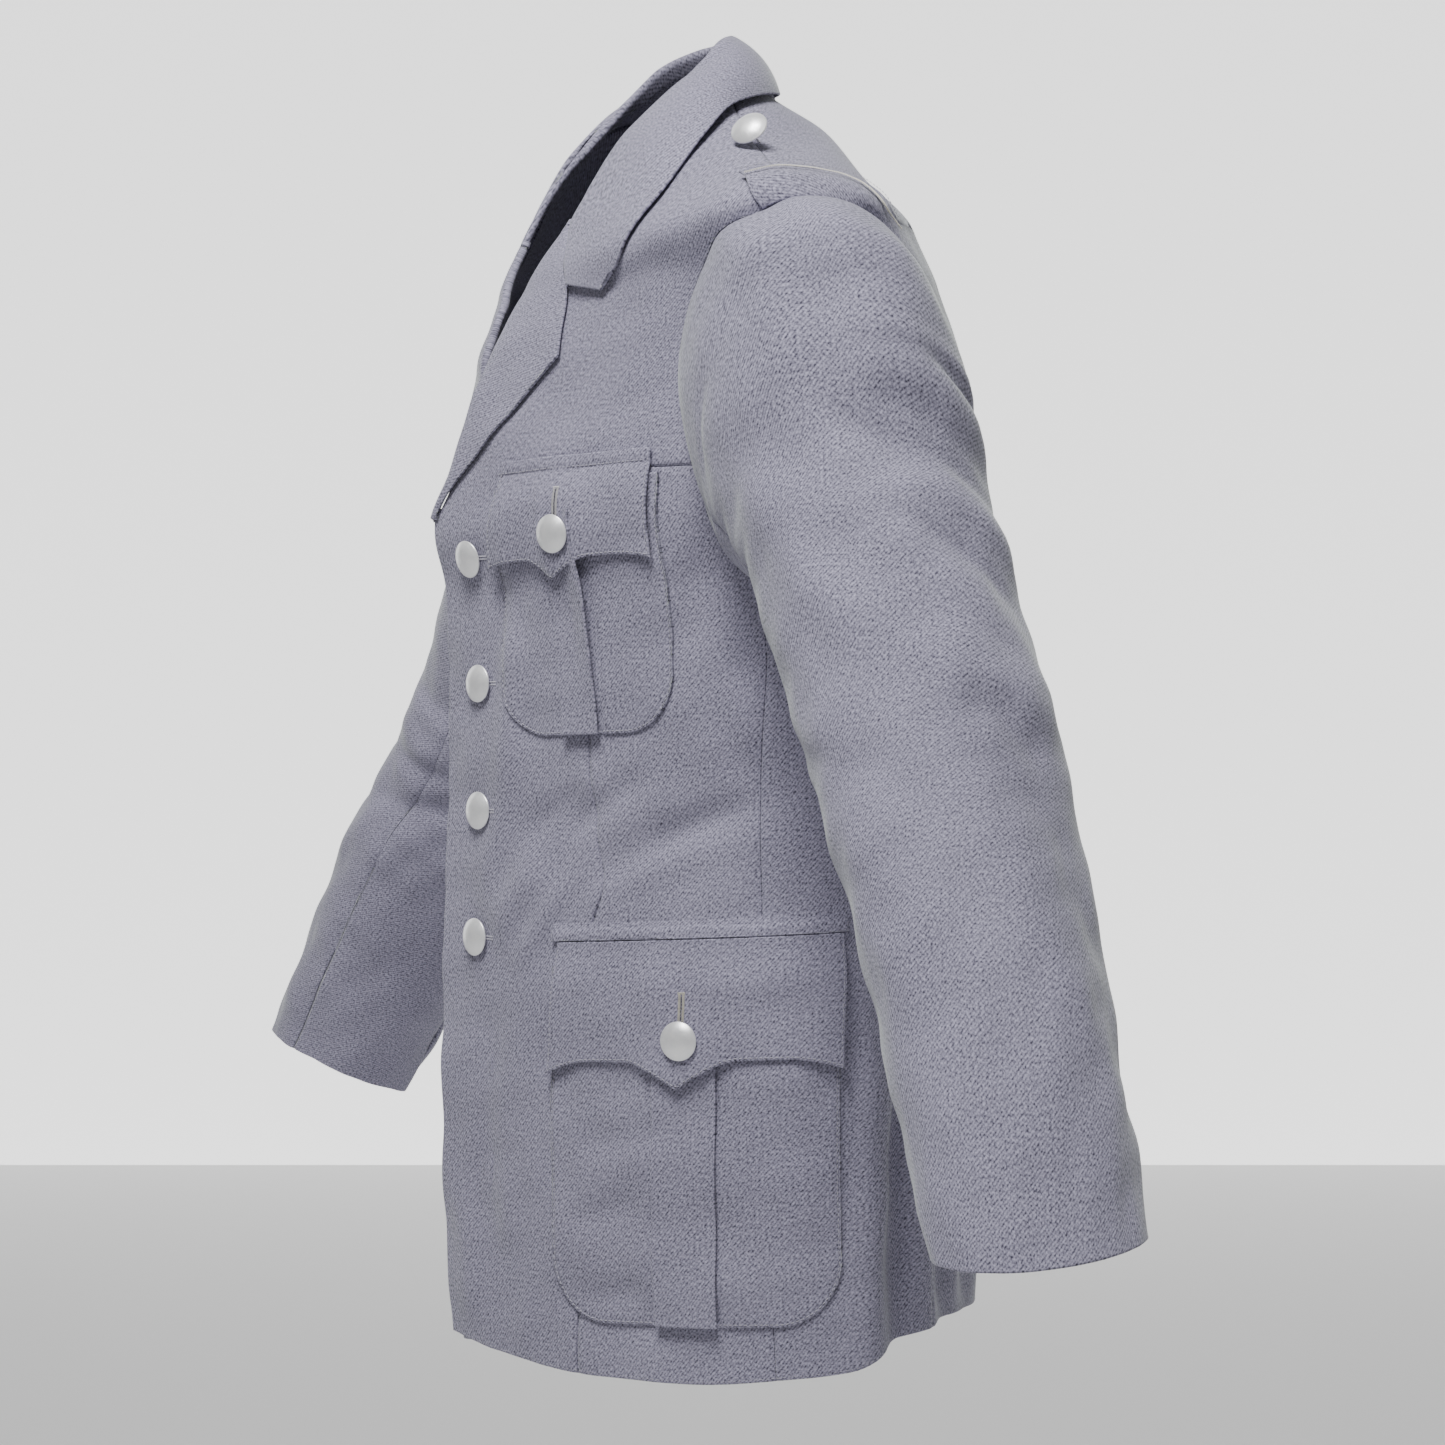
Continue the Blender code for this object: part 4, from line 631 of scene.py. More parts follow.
def flap_bottom(p, round_):
    """Lower edge of a flap: low corners, two shallow scoops and a point in the middle."""
    half = np.where(round_ < p["tip_round"], p["tip_round"] - p["flap_left"],
                    p["flap_right"] - p["tip_round"])
    away = np.abs(round_ - p["tip_round"]) / half
    scoop = p["flap_side"] + p["flap_dip"]
    point = (p["flap_tip"] - scoop) * np.clip(1 - away / 0.36, 0, 1) ** 1.4
    corner = -p["flap_dip"] * np.clip((away - 0.66) / 0.34, 0, 1) ** 1.8
    return scoop + point + corner


def flap_lean(p, round_, rise):
    """The flap's front edge leans: its top lies further round than its foot."""
    return p["flap_lean"] * (rise - 0.5) * (p["flap_right"] - round_) / (p["flap_right"] - p["flap_left"])


def drop_on_body(body, target, round_, level):
    """Places on the body nearest to some points, found by a few short steps."""
    step = 0.002
    for _ in range(12):
        here = body_at(body, round_, level)
        along_round = (body_at(body, round_ + step, level) - here) / step
        along_level = (body_at(body, round_, level + step) - here) / step
        miss = target - here
        a, b = (along_round ** 2).sum(-1), (along_round * along_level).sum(-1)
        c = (along_level ** 2).sum(-1)
        p, q = (miss * along_round).sum(-1), (miss * along_level).sum(-1)
        span = np.maximum(a * c - b * b, 1e-9)
        round_ = round_ + np.clip((p * c - q * b) / span, -0.01, 0.01)
        level = np.minimum(level + np.clip((q * a - p * b) / span, -0.01, 0.01), NECK_LEVEL)
    return round_, level


# Finer sheets than the solids', on the same surfaces

SHEET_STEP = 0.0032
RIM = 0.0007  # how far a sheet's faces stop short of its round edge
NEAR_EDGE = (0.0010, 0.0021, 0.0034, 0.0052)

CREASE_DEPTH = 1.5  # the creases and waves below are drawn this much deeper than listed
SLEEVE_CREASE_DEPTH = 1.6
SLEEVE_WAVES = 1.4

# Smaller creases, which only the looks have
LEFT_CREASES = (
    (0.046, -0.300, 86, 0.110, 0.0060, 0.0009),
    (0.030, -0.420, 78, 0.120, 0.0100, 0.0012),
    (0.064, -0.492, 52, 0.060, 0.0065, 0.0018),
    (0.074, -0.425, 36, 0.050, 0.0070, -0.0011),
    (0.112, -0.420, 30, 0.070, 0.0090, -0.0016),
    (0.136, -0.462, 24, 0.090, 0.0090, 0.0016),
    (0.172, -0.432, 20, 0.080, 0.0100, -0.0016),
    (0.190, -0.380, 112, 0.060, 0.0080, -0.0014),
    (0.176, -0.300, 74, 0.080, 0.0120, -0.0018),
    (0.020, -0.600, 86, 0.160, 0.0140, -0.0014),
    (0.036, -0.650, 96, 0.090, 0.0090, 0.0010),
    (-0.008, -0.640, 92, 0.060, 0.0070, -0.0014),
    (0.050, -0.722, 80, 0.040, 0.0070, 0.0008),
    (0.112, -0.655, 20, 0.050, 0.0090, -0.0016),
    (0.120, -0.700, 12, 0.040, 0.0080, -0.0012),
    (0.130, -0.612, 10, 0.060, 0.0110, -0.0012),
    (0.262, -0.600, 88, 0.120, 0.0060, -0.0018),
    (0.285, -0.585, 86, 0.140, 0.0065, 0.0024),
    (0.310, -0.600, 92, 0.160, 0.0060, 0.0018),
    (0.336, -0.560, 88, 0.130, 0.0070, -0.0020),
    (0.371, -0.600, 92, 0.180, 0.0090, 0.0022),
    (0.398, -0.640, 89, 0.150, 0.0100, -0.0020),
    (0.360, -0.480, 40, 0.080, 0.0090, -0.0018),
    (0.375, -0.500, 34, 0.090, 0.0090, 0.0014),
    (0.420, -0.440, 8, 0.110, 0.0090, 0.0014),
    (0.450, -0.405, -4, 0.120, 0.0100, -0.0013),
    (0.480, -0.460, 96, 0.120, 0.0120, -0.0014),
    (0.360, -0.300, 62, 0.100, 0.0100, -0.0018),
    (0.400, -0.205, 74, 0.090, 0.0120, -0.0016),
    (0.470, -0.620, 91, 0.200, 0.0120, -0.0018),
)
RIGHT_CREASES = (
    (0.050, -0.320, 84, 0.120, 0.0070, 0.0010),
    (0.034, -0.430, 80, 0.110, 0.0100, 0.0012),
    (0.070, -0.480, 48, 0.070, 0.0075, 0.0016),
    (0.104, -0.410, 30, 0.070, 0.0090, -0.0016),
    (0.140, -0.470, 20, 0.090, 0.0090, 0.0015),
    (0.180, -0.440, 16, 0.080, 0.0100, -0.0015),
    (0.180, -0.310, 70, 0.090, 0.0120, -0.0018),
    (0.026, -0.610, 84, 0.150, 0.0140, -0.0013),
    (0.044, -0.670, 94, 0.080, 0.0090, 0.0010),
    (0.120, -0.660, 16, 0.060, 0.0090, -0.0015),
    (0.132, -0.620, 8, 0.060, 0.0110, -0.0012),
    (0.266, -0.610, 90, 0.130, 0.0065, -0.0018),
    (0.290, -0.590, 87, 0.140, 0.0070, 0.0022),
    (0.318, -0.610, 92, 0.160, 0.0065, 0.0018),
    (0.346, -0.570, 88, 0.130, 0.0075, -0.0018),
    (0.380, -0.610, 91, 0.170, 0.0095, 0.0020),
    (0.410, -0.630, 89, 0.150, 0.0110, -0.0018),
    (0.370, -0.470, 38, 0.080, 0.0095, -0.0017),
    (0.430, -0.440, 6, 0.110, 0.0095, 0.0014),
    (0.460, -0.400, -6, 0.120, 0.0100, -0.0013),
    (0.490, -0.470, 94, 0.120, 0.0120, -0.0013),
    (0.370, -0.290, 60, 0.100, 0.0105, -0.0017),
    (0.410, -0.195, 72, 0.090, 0.0120, -0.0015),
    (0.480, -0.630, 90, 0.200, 0.0120, -0.0017),
)
LEFT_SLEEVE_CREASES = (
    (350, 0.128, -16, 0.090, 0.0070, 0.0012),
    (336, 0.186, -9, 0.085, 0.0060, 0.0022),
    (322, 0.203, -12, 0.045, 0.0050, -0.0020),
    (347, 0.262, -18, 0.090, 0.0060, 0.0014),
    (12, 0.268, -41, 0.075, 0.0070, -0.0012),
    (337, 0.312, -20, 0.055, 0.0065, 0.0010),
    (345, 0.364, -30, 0.080, 0.0055, 0.0018),
    (60, 0.058, -10, 0.050, 0.0060, -0.0010),
    (88, 0.115, 10, 0.040, 0.0060, -0.0012),
    (24, 0.465, -50, 0.120, 0.0110, 0.0010),
    (338, 0.480, -20, 0.070, 0.0080, 0.0010),
    (335, 0.640, -44, 0.100, 0.0120, -0.0010),
    (40, 0.640, -66, 0.150, 0.0140, -0.0008),
    (350, 0.760, -62, 0.140, 0.0130, 0.0009),
    (310, 0.790, -70, 0.150, 0.0140, -0.0010),
    (96, 0.520, -34, 0.080, 0.0100, -0.0014),
    (200, 0.380, 10, 0.080, 0.0110, -0.0018),
    (250, 0.430, 14, 0.080, 0.0100, 0.0018),
    (245, 0.540, 8, 0.080, 0.0110, -0.0020),
)
RIGHT_SLEEVE_CREASES = (
    (352, 0.132, -14, 0.085, 0.0070, 0.0011),
    (338, 0.194, -10, 0.080, 0.0060, 0.0020),
    (326, 0.212, -12, 0.045, 0.0055, -0.0018),
    (350, 0.272, -20, 0.085, 0.0060, 0.0013),
    (14, 0.280, -40, 0.070, 0.0070, -0.0011),
    (348, 0.376, -28, 0.075, 0.0055, 0.0016),
    (58, 0.062, -10, 0.050, 0.0060, -0.0009),
    (100, 0.480, 4, 0.060, 0.0080, 0.0020),
    (112, 0.550, -6, 0.060, 0.0085, -0.0018),
    (84, 0.560, 20, 0.080, 0.0090, 0.0013),
    (120, 0.610, -20, 0.090, 0.0100, -0.0014),
    (96, 0.660, -60, 0.120, 0.0110, 0.0010),
    (140, 0.700, -70, 0.140, 0.0130, -0.0010),
    (340, 0.650, -46, 0.100, 0.0120, -0.0010),
    (200, 0.400, 10, 0.080, 0.0110, -0.0016),
    (240, 0.470, 12, 0.080, 0.0100, 0.0016),
)

# Long, low waves that no cloth is without: direction in degrees, wave length, height and start
WAVES = (
    (12, 0.085, 0.00050, 0.3), (77, 0.063, 0.00042, 1.9), (141, 0.047, 0.00030, 4.1),
    (38, 0.034, 0.00018, 2.2), (103, 0.027, 0.00014, 5.0), (165, 0.021, 0.00010, 0.9),
)


def waves(across, up, start):
    height = 0
    for angle, length, size, phase in WAVES:
        a = math.radians(angle)
        on = (across * math.cos(a) + up * math.sin(a)) / length
        beat = 1 + 0.6 * np.sin(1.7 * (across * math.sin(a) - up * math.cos(a)) / length + 3 * phase + start)
        height = height + size * beat * np.sin(2 * math.pi * on + phase + start)
    return height


def ditch(distance, width, depth):
    """A groove along a seam or a row of stitches."""
    return -depth * np.exp(-(distance / width) ** 2)


def seam_relief(round_, level):
    """The panels sink a little on each side of their seams."""
    low = eased(level, CHEST_SEAM + 0.001, CHEST_SEAM)
    height = ditch(round_ - edge_at(level, DART_SEAM), 0.0022, 0.0007) * low
    height += ditch(round_ - edge_at(level, SIDE_SEAM), 0.0022, 0.0007) * eased(level, -0.286, -0.296)
    height += ditch(round_ - edge_at(level, BACK_SIDE_SEAM), 0.0022, 0.0007) * eased(level, -0.231, -0.240)
    height += ditch(round_ - half_girth(level), 0.0022, 0.0007)
    over = eased(level, ARM_TIP, ARM_TIP + 0.004)
    height += ditch(round_ - shoulder_seam(level), 0.0020, 0.0006) * over
    beyond = eased(round_, DART_SEAM[-1][1] - 0.001, DART_SEAM[-1][1] + 0.001) * eased(round_, 0.240, 0.220)
    return height + ditch(level - CHEST_SEAM, 0.0020, 0.0006) * beyond


def body_sheet(side, round_, level, lift=0.0, seams=False):
    """Places on the body with the finer creases, lifted off its inner face."""
    round_, level = np.broadcast_arrays(np.asarray(round_, float), np.asarray(level, float))
    body, creases, start = BODIES[side]
    calm = eased(level, -0.050, -0.100) * eased(round_, -0.020, 0.020)
    extra = CREASE_DEPTH * fold_height(round_, level, creases) * calm
    extra = extra + waves(round_, level, start) * eased(level, -0.030, -0.120)
    if seams:
        extra = extra + seam_relief(round_, level)
    return body_at(body, round_, level, np.asarray(lift, float) + extra)


def sleeve_sheet(side, turn, along):
    """The sleeve with its finer creases and the ditch and swell beside its head seam."""
    rows, folds, creases, start = SLEEVES[side]
    turn, along = np.broadcast_arrays(np.asarray(turn, float), np.asarray(along, float))
    inner = sleeve_at(BODIES[side][0], rows, folds, HEAD_SWELL[side], turn, along)
    outward = grid_normals(inner[:, ::-1])[:, ::-1]
    extra = SLEEVE_CREASE_DEPTH * sleeve_fold_height(turn, along, creases)
    girth, down = turn * SLEEVE_GIRTH_PER_TURN, along * SLEEVE_LENGTH
    extra = extra + SLEEVE_WAVES * waves(girth, down, start) * np.clip(along / 0.1, 0, 1)
    extra = extra + ditch(down, 0.0030, 0.0006)
    for seam in (FRONT_SLEEVE_SEAM, BACK_SLEEVE_SEAM):
        off = ((turn - seam + 180) % 360 - 180) * SLEEVE_GIRTH_PER_TURN
        extra = extra + ditch(off, 0.0024, 0.0008)
    return inner + extra[..., None] * outward


def spaced(length, step=SHEET_STEP, near=NEAR_EDGE):
    """Shares along a length: even, and closer together near both ends."""
    ends = np.array((0.0, *near)) / length
    middle = np.linspace(ends[-1], 1 - ends[-1], max(2, round((1 - 2 * ends[-1]) * length / step) + 1))
    return np.concatenate([ends[:-1], middle, (1 - ends[:-1])[::-1]])


def rows_between(low, high, step=SHEET_STEP):
    return low + (high - low) * spaced(high - low, step)


def loops_of(quads):
    """The borders of a sheet, as closed loops of its points, with the sheet on the left."""
    starts = {}
    edges = np.concatenate([quads[:, [i, (i + 1) % 4]] for i in range(4)])
    back = {(b, a) for a, b in edges.tolist()}
    for a, b in edges.tolist():
        if (a, b) not in back:
            starts[a] = b
    loops = []
    while starts:
        first = at = next(iter(starts))
        loop = []
        while at in starts:
            loop.append(at)
            at = starts.pop(at)
            if at == first:
                break
        loops.append(loop)
    return loops


def sheet_mesh(name, points, wall, uv, keep=None, mirror=False):
    """A closed sheet of cloth on its inner face, with a wall outwards and a round edge."""
    points, uv = np.asarray(points, float), np.asarray(uv, float)
    rows, columns = points.shape[:2]
    normals = grid_normals(points)
    at = np.arange(rows * columns).reshape(rows, columns)
    quads = np.stack([at[:-1, :-1], at[:-1, 1:], at[1:, 1:], at[1:, :-1]], -1).reshape(-1, 4)
    if keep is not None:
        quads = quads[keep.reshape(-1)]
    used, quads = np.unique(quads, return_inverse=True)
    quads = quads.reshape(-1, 4)
    p, n = points.reshape(-1, 3)[used], normals.reshape(-1, 3)[used]
    place = uv.reshape(-1, 2)[used]
    inner, outer = p.copy(), p + wall * n
    rings, ring_uv, strips = [], [], []
    count = len(p)
    for loop in loops_of(quads):
        loop = np.array(loop)
        ahead, behind = np.roll(loop, -1), np.roll(loop, 1)
        out = unit(np.cross(p[ahead] - p[behind], n[loop]))
        inner[loop] -= RIM * out
        outer[loop] -= RIM * out
        middle = p[loop] + 0.5 * wall * n[loop] - RIM * out
        ids = [loop + count]
        for angle in (40, 90, 140):
            a = math.radians(angle)
            rings.append(middle + RIM * math.sin(a) * out + 0.5 * wall * math.cos(a) * n[loop])
            ring_uv.append(place[loop])
            ids.append(2 * count + sum(len(r) for r in rings[:-1]) + np.arange(len(loop)))
        ids.append(loop)
        for upper, lower in zip(ids, ids[1:]):
            strips.append(np.stack([upper, lower, np.roll(lower, -1), np.roll(upper, -1)], -1))
    verts = np.concatenate([inner, outer, *rings])
    faces = np.concatenate([quads[:, ::-1], quads + count, *strips])
    places = np.concatenate([place, place, *ring_uv])
    if mirror:
        verts = set_back(verts) * (-1, 1, 1)
        faces = faces[:, ::-1]
    mesh = bpy.data.meshes.new(name)
    mesh.from_pydata(verts.tolist(), [], faces.tolist())
    layer = mesh.uv_layers.new(name="cloth")
    layer.data.foreach_set("uv", places[faces.reshape(-1)].astype(np.float32).reshape(-1))
    mesh.shade_smooth()
    mesh.update()
    piece = bpy.data.objects.new(name, mesh)
    bpy.context.scene.collection.objects.link(piece)
    return piece


def cut_of(points, keep=None):
    """Width, length and area of the cut of a sheet."""
    across = np.linalg.norm(np.diff(points, axis=1), axis=-1)
    up = np.linalg.norm(np.diff(points, axis=0), axis=-1)
    cell = 0.25 * (across[:-1] + across[1:]) * (up[:, :-1] + up[:, 1:])
    area = float(cell.sum() if keep is None else cell[keep].sum())
    width, length = float(across.sum(axis=1).max()), float(up.sum(axis=0).max())
    return width, length, min(area, width * length)


def sheet(node, points, uv, wall=WALL, keep=None, mirror=False, grain=0.0):
    """One piece of cloth in place of its solid, which it hides."""
    a = math.radians(grain)
    uv = np.asarray(uv, float) * ((-1, 1) if mirror else (1, 1))
    turned = np.stack([uv[..., 0] * math.cos(a) - uv[..., 1] * math.sin(a),
                       uv[..., 0] * math.sin(a) + uv[..., 1] * math.cos(a)], -1)
    piece = sheet_mesh(node + "_cloth", points, wall, turned, keep, mirror)
    piece.data.materials.append(TWILL)
    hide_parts(node)
    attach(piece, "root")
    cut_of(points, keep)
    return piece


# The panels


def panel_levels(top):
    """Rows of a panel up to a level, with the chest seam and the shoulder's end among them."""
    low = rows_between(HEM_LEVEL, CHEST_SEAM)
    if top <= CHEST_SEAM:
        return low
    chest = np.concatenate([rows_between(CHEST_SEAM, -0.112)[:-4], np.linspace(-0.1128, ARM_TIP, 20)])
    return np.concatenate([low, chest[1:], rows_between(ARM_TIP, NECK_LEVEL)[3:]])


def front_sheet(side, mirror):
    levels = panel_levels(NECK_LEVEL)
    seam_row = int(np.argmin(np.abs(levels - CHEST_SEAM)))
    rolled = edge_at(levels, ROLL_LINE) + FOLD_ON_CHEST[0][0] + ROLL_GAP
    rolled += NECK_CLEAR * eased(levels, -0.080, -0.045)
    inner = np.where(levels <= BREAK, edge_at(levels, FRONT_EDGE), rolled)
    outer = np.where(levels < ARM_TIP - 1e-6, armhole_edge(levels, True), shoulder_seam(levels)) - SEAM
    share = (DART_SEAM[-1][1] - inner[seam_row]) / (outer[seam_row] - inner[seam_row])
    middle = np.where(levels <= CHEST_SEAM, edge_at(levels, DART_SEAM) - SEAM,
                      inner + share * (outer - inner))
    near = inner[:, None] + (middle - inner)[:, None] * spaced(0.12)
    far = middle[:, None] + (outer - middle)[:, None] * spaced(0.10)
    rounds = np.concatenate([near, far[:, 1:]], axis=1)
    rows = np.repeat(levels[:, None], rounds.shape[1], axis=1)
    rows[seam_row, near.shape[1]:] += SEAM
    rows = hem_level(rows, rounds)
    keep = np.ones((len(levels) - 1, rounds.shape[1] - 1), bool)
    keep[:seam_row, near.shape[1] - 1:] = False
    sheet(side + "_front", body_sheet(side, rounds, rows, seams=True), np.stack([rounds, rows], -1),
          keep=keep, mirror=mirror)


def front_side_sheet(side, mirror):
    levels = panel_levels(CHEST_SEAM)
    levels[-1] -= SEAM
    top = SIDE_SEAM[-1][0]
    inner = edge_at(levels, DART_SEAM) + SEAM
    outer = np.where(levels < top, edge_at(levels, SIDE_SEAM), armhole_edge(levels, True)) - SEAM
    rounds = inner[:, None] + (outer - inner)[:, None] * spaced(0.11)
    rows = hem_level(np.repeat(levels[:, None], rounds.shape[1], axis=1), rounds)
    sheet(side + "_front_side", body_sheet(side, rounds, rows, seams=True), np.stack([rounds, rows], -1),
          mirror=mirror)


def side_sheet(side, mirror):
    share = spaced(0.105)
    low = rows_between(HEM_LEVEL, ARMHOLE_LOW)
    inner, outer = edge_at(low, SIDE_SEAM) + SEAM, edge_at(low, BACK_SIDE_SEAM) - SEAM
    rounds = inner[:, None] + (outer - inner)[:, None] * share
    rows = hem_level(np.repeat(low[:, None], len(share), axis=1), rounds)
    top_round = (SIDE_SEAM[-1][1] + SEAM) * (1 - share) + (BACK_SIDE_SEAM[-1][1] - SEAM) * share
    top = armhole_foot(top_round) - 0.0015
    climbed = np.linspace(0, 1, 16)[1:, None]
    rounds = np.vstack([rounds, rounds[-1] * (1 - climbed) + top_round * climbed])
    rows = np.vstack([rows, rows[-1] * (1 - climbed) + top * climbed])
    sheet(side + "_side_panel", body_sheet(side, rounds, rows, seams=True), np.stack([rounds, rows], -1),
          mirror=mirror)


def back_sheet(side, mirror):
    levels = panel_levels(NECK_LEVEL)
    inner = np.where(levels < CHEST_SEAM - 1e-6, edge_at(levels, BACK_SIDE_SEAM),
                     np.where(levels < ARM_TIP - 1e-6, armhole_edge(levels, False),
                              shoulder_seam(levels))) + SEAM
    outer = half_girth(levels) - SEAM / 2
    rounds = inner[:, None] + (outer - inner)[:, None] * spaced(0.22)
    rows = hem_level(np.repeat(levels[:, None], rounds.shape[1], axis=1), rounds)
    sheet(side + "_back", body_sheet(side, rounds, rows, seams=True), np.stack([rounds, rows], -1),
          mirror=mirror)


def sleeve_sheets(side, mirror):
    gap = SEAM / 2 / (SLEEVE_GIRTH_PER_TURN * 0.75)
    along = spaced(SLEEVE_LENGTH, 0.0036)[::-1, None]
    for name, first, last in (("_upper_sleeve", BACK_SLEEVE_SEAM - 360, FRONT_SLEEVE_SEAM),
                              ("_under_sleeve", FRONT_SLEEVE_SEAM, BACK_SLEEVE_SEAM)):
        width = (last - first) * SLEEVE_GIRTH_PER_TURN
        turns = first + gap + (last - first - 2 * gap) * spaced(width, 0.0034)
        points = sleeve_sheet(side, turns[None, :], along)[:, ::-1]
        uv = np.stack(np.broadcast_arrays(-turns[None, :] * SLEEVE_GIRTH_PER_TURN,
                                          -along * SLEEVE_LENGTH), -1)[:, ::-1]
        sheet(side + name, points, uv, mirror=mirror, grain=16)


def along_fold(fold, count):
    """A fold's steps and lifts on a smooth line through its first rows."""
    fold = np.array(fold)
    at = np.linspace(0, len(fold) - 1, count)
    return np.stack([smooth_at(at, np.arange(len(fold)), fold[:, k]) for k in range(2)], -1)


def lapel_sheet(side, mirror):
    t = table(LAPEL_EDGE, LAPEL_COLUMNS)
    corners = np.array([-0.2530, -0.2500, -0.231, -0.160, -0.112, -0.106, -0.044, -0.034])
    levels = np.concatenate([rows_between(a, b, 0.003)[:-1] for a, b in zip(corners, corners[1:])]
                            + [corners[-1:]])
    roll = edge_at(levels, ROLL_LINE)
    under = eased(levels, -0.112, -0.106)  # above the notch the edge goes under the collar
    width = (np.interp(levels, t["level"], t["round"]) + 0.0020 * under - roll)[:, None]
    width = np.maximum(width, 0.0032 - 0.0014 * eased(levels, -0.250, -0.264)[:, None])
    fold = along_fold(FOLD_ON_CHEST, 14)
    small = np.clip(width / 0.012, 0.3, 1)
    foot = eased(levels, -0.262, -0.236)[:, None]
    steps = fold[:, 0] * small
    leaf = np.array((np.linspace(0, 1, 24) ** 0.92)[1:-1].tolist() + [1 - 0.0009 / 0.06, 1])
    steps = np.concatenate([steps, steps[:, -1:] + (width - steps[:, -1:]) * leaf], axis=1)
    end = LEAF_EDGE_LIFT - 0.0006
    lifts = np.concatenate([fold[:, 1], fold[-1, 1] + (end - fold[-1, 1]) * leaf])
    rows = np.repeat(levels[:, None], steps.shape[1], axis=1)
    rounds = roll[:, None] + steps
    first = np.arange(steps.shape[1]) < fold.shape[0]
    tuck = np.where(first, 0.0004 * eased(levels, -0.060, -0.040)[:, None],
                    0.0011 * under[:, None] * (steps / width) ** 3)
    points = body_sheet(side, rounds, rows, lifts * (0.62 + 0.38 * foot) - tuck)
    sheet(side + "_lapel", points, np.stack([rounds, rows], -1), FACING_WALL, mirror=mirror,
          grain=38)


def collar_sheet():
    """The fall, on the solid's rows, with its fold drawn through as a round roll."""
    leaf = np.linspace(0, 1, 26)[1:]
    leaf[-1], leaf[-2] = 1.0, 1 - 0.0012 / 0.06
    halves = []
    for side in ("left", "right"):
        half = collar_half(BODIES[side][0], leaf)
        halves.append(set_back(half) * (-1, 1, 1) if side == "right" else half)
    points = np.concatenate([halves[0][:, :0:-1], halves[1]], axis=1)[::-1]
    up = np.concatenate([[0], np.cumsum(np.linalg.norm(np.diff(points, axis=0), axis=-1).mean(axis=1))])
    across = np.concatenate([[0], np.cumsum(np.linalg.norm(np.diff(points[0], axis=0), axis=-1))])
    uv = np.stack(np.meshgrid(across, up), -1)
    sheet("collar_fall", points, uv, FACING_WALL,
          grain=64)


def stand_sheet():
    heights = spaced(0.045, 0.0025)
    halves = []
    for side in ("left", "right"):
        half = stand_half(BODIES[side][0], heights)
        halves.append(set_back(half) * (-1, 1, 1) if side == "right" else half)
    points = np.concatenate([halves[1][:, :0:-1], halves[0]], axis=1)[:, ::-1]
    up = heights * 0.045
    across = np.concatenate([[0], np.cumsum(np.linalg.norm(np.diff(points[0], axis=0), axis=-1))])
    relief = ditch(up - 0.034, 0.0014, 0.0006)[:, None, None]
    points = points - relief * grid_normals(points)
    sheet("collar_stand", points, np.stack(np.meshgrid(across, up), -1), FACING_WALL,
          grain=20)


# What lies on the panels


def pocket_sheet(side, kind, mirror):
    p = pocket_row(kind)
    c = p["corner"]
    ends = c * (1 - np.cos(np.radians(np.linspace(0, 80, 22))))
    middle = np.linspace(p["left"] + ends[-1], p["right"] - ends[-1],
                         round((p["right"] - p["left"] - 2 * ends[-1]) / 0.003))[1:-1]
    rounds = np.concatenate([p["left"] + ends, middle, (p["right"] - ends)[::-1]])
    foot = pocket_bottom(p, rounds)
    rise = spaced(p["top"] - p["bottom"])[:, None]
    levels = foot * (1 - rise) + p["top"] * rise + climb(p, rounds)
    rounds = np.broadcast_to(rounds, levels.shape)
    inset = np.minimum(rounds - p["left"], p["right"] - rounds)
    off = np.minimum(inset, (levels - climb(p, rounds)) - foot)
    corner = np.hypot(np.maximum(c - inset, 0), np.maximum(p["bottom"] + c - (levels - climb(p, rounds)), 0))
    off = np.where((inset < c) & (levels - climb(p, rounds) < p["bottom"] + c), c - corner, off)
    sag = 0.0016 * eased(off, 0.004, 0.030)
    lift = POCKET_LIFT - 0.0009 + sag + ditch(off - 0.0017, 0.0011, 0.0005)
    flap_foot = (levels - climb(p, rounds) - p["bottom"]) / (p["flap_side"] + 0.03 - p["bottom"])
    beside = np.abs(rounds - pleat_middle(p, mirror, np.clip(flap_foot, 0, 1))) - p["pleat_width"] / 2
    lift = lift + ditch(beside, 0.0016, 0.0010)
    points = body_sheet(side, rounds, levels, lift)
    sheet(f"{side}_{kind}_pocket", points, np.stack([rounds, levels], -1), FACING_WALL - 0.0004,
          mirror=mirror)


def pleat_middle(p, mirror, rise):
    middle = p["pleat_foot_round"] * (1 - rise) + p["pleat_top_round"] * rise
    return np.full_like(rise, p["pleat_top_round"]) if mirror else middle


def pleat_sheet(side, kind, mirror):
    p = pocket_row(kind)
    share = spaced(p["pleat_width"], 0.0024)[None, :]
    top = p["flap_side"] + 0.03
    rise = spaced(top - p["bottom"])[:, None]
    rounds = pleat_middle(p, mirror, rise) + (share - 0.5) * p["pleat_width"]
    levels = p["bottom"] * (1 - rise) + top * rise + climb(p, rounds)
    gape = 0.0
    if kind == "breast" and not mirror:
        gape = 0.0042 * eased(share, 0.45, 1.0) * eased(rise, 0.05, 0.55)
    lift = PLEAT_LIFT - 0.0004 + gape + 0.0006 * (2 * share - 1) ** 4
    points = body_sheet(side, rounds, levels, lift + 0 * rounds)
    sheet(f"{side}_{kind}_pleat", points, np.stack([rounds, levels], -1), FACING_WALL - 0.0004,
          mirror=mirror)


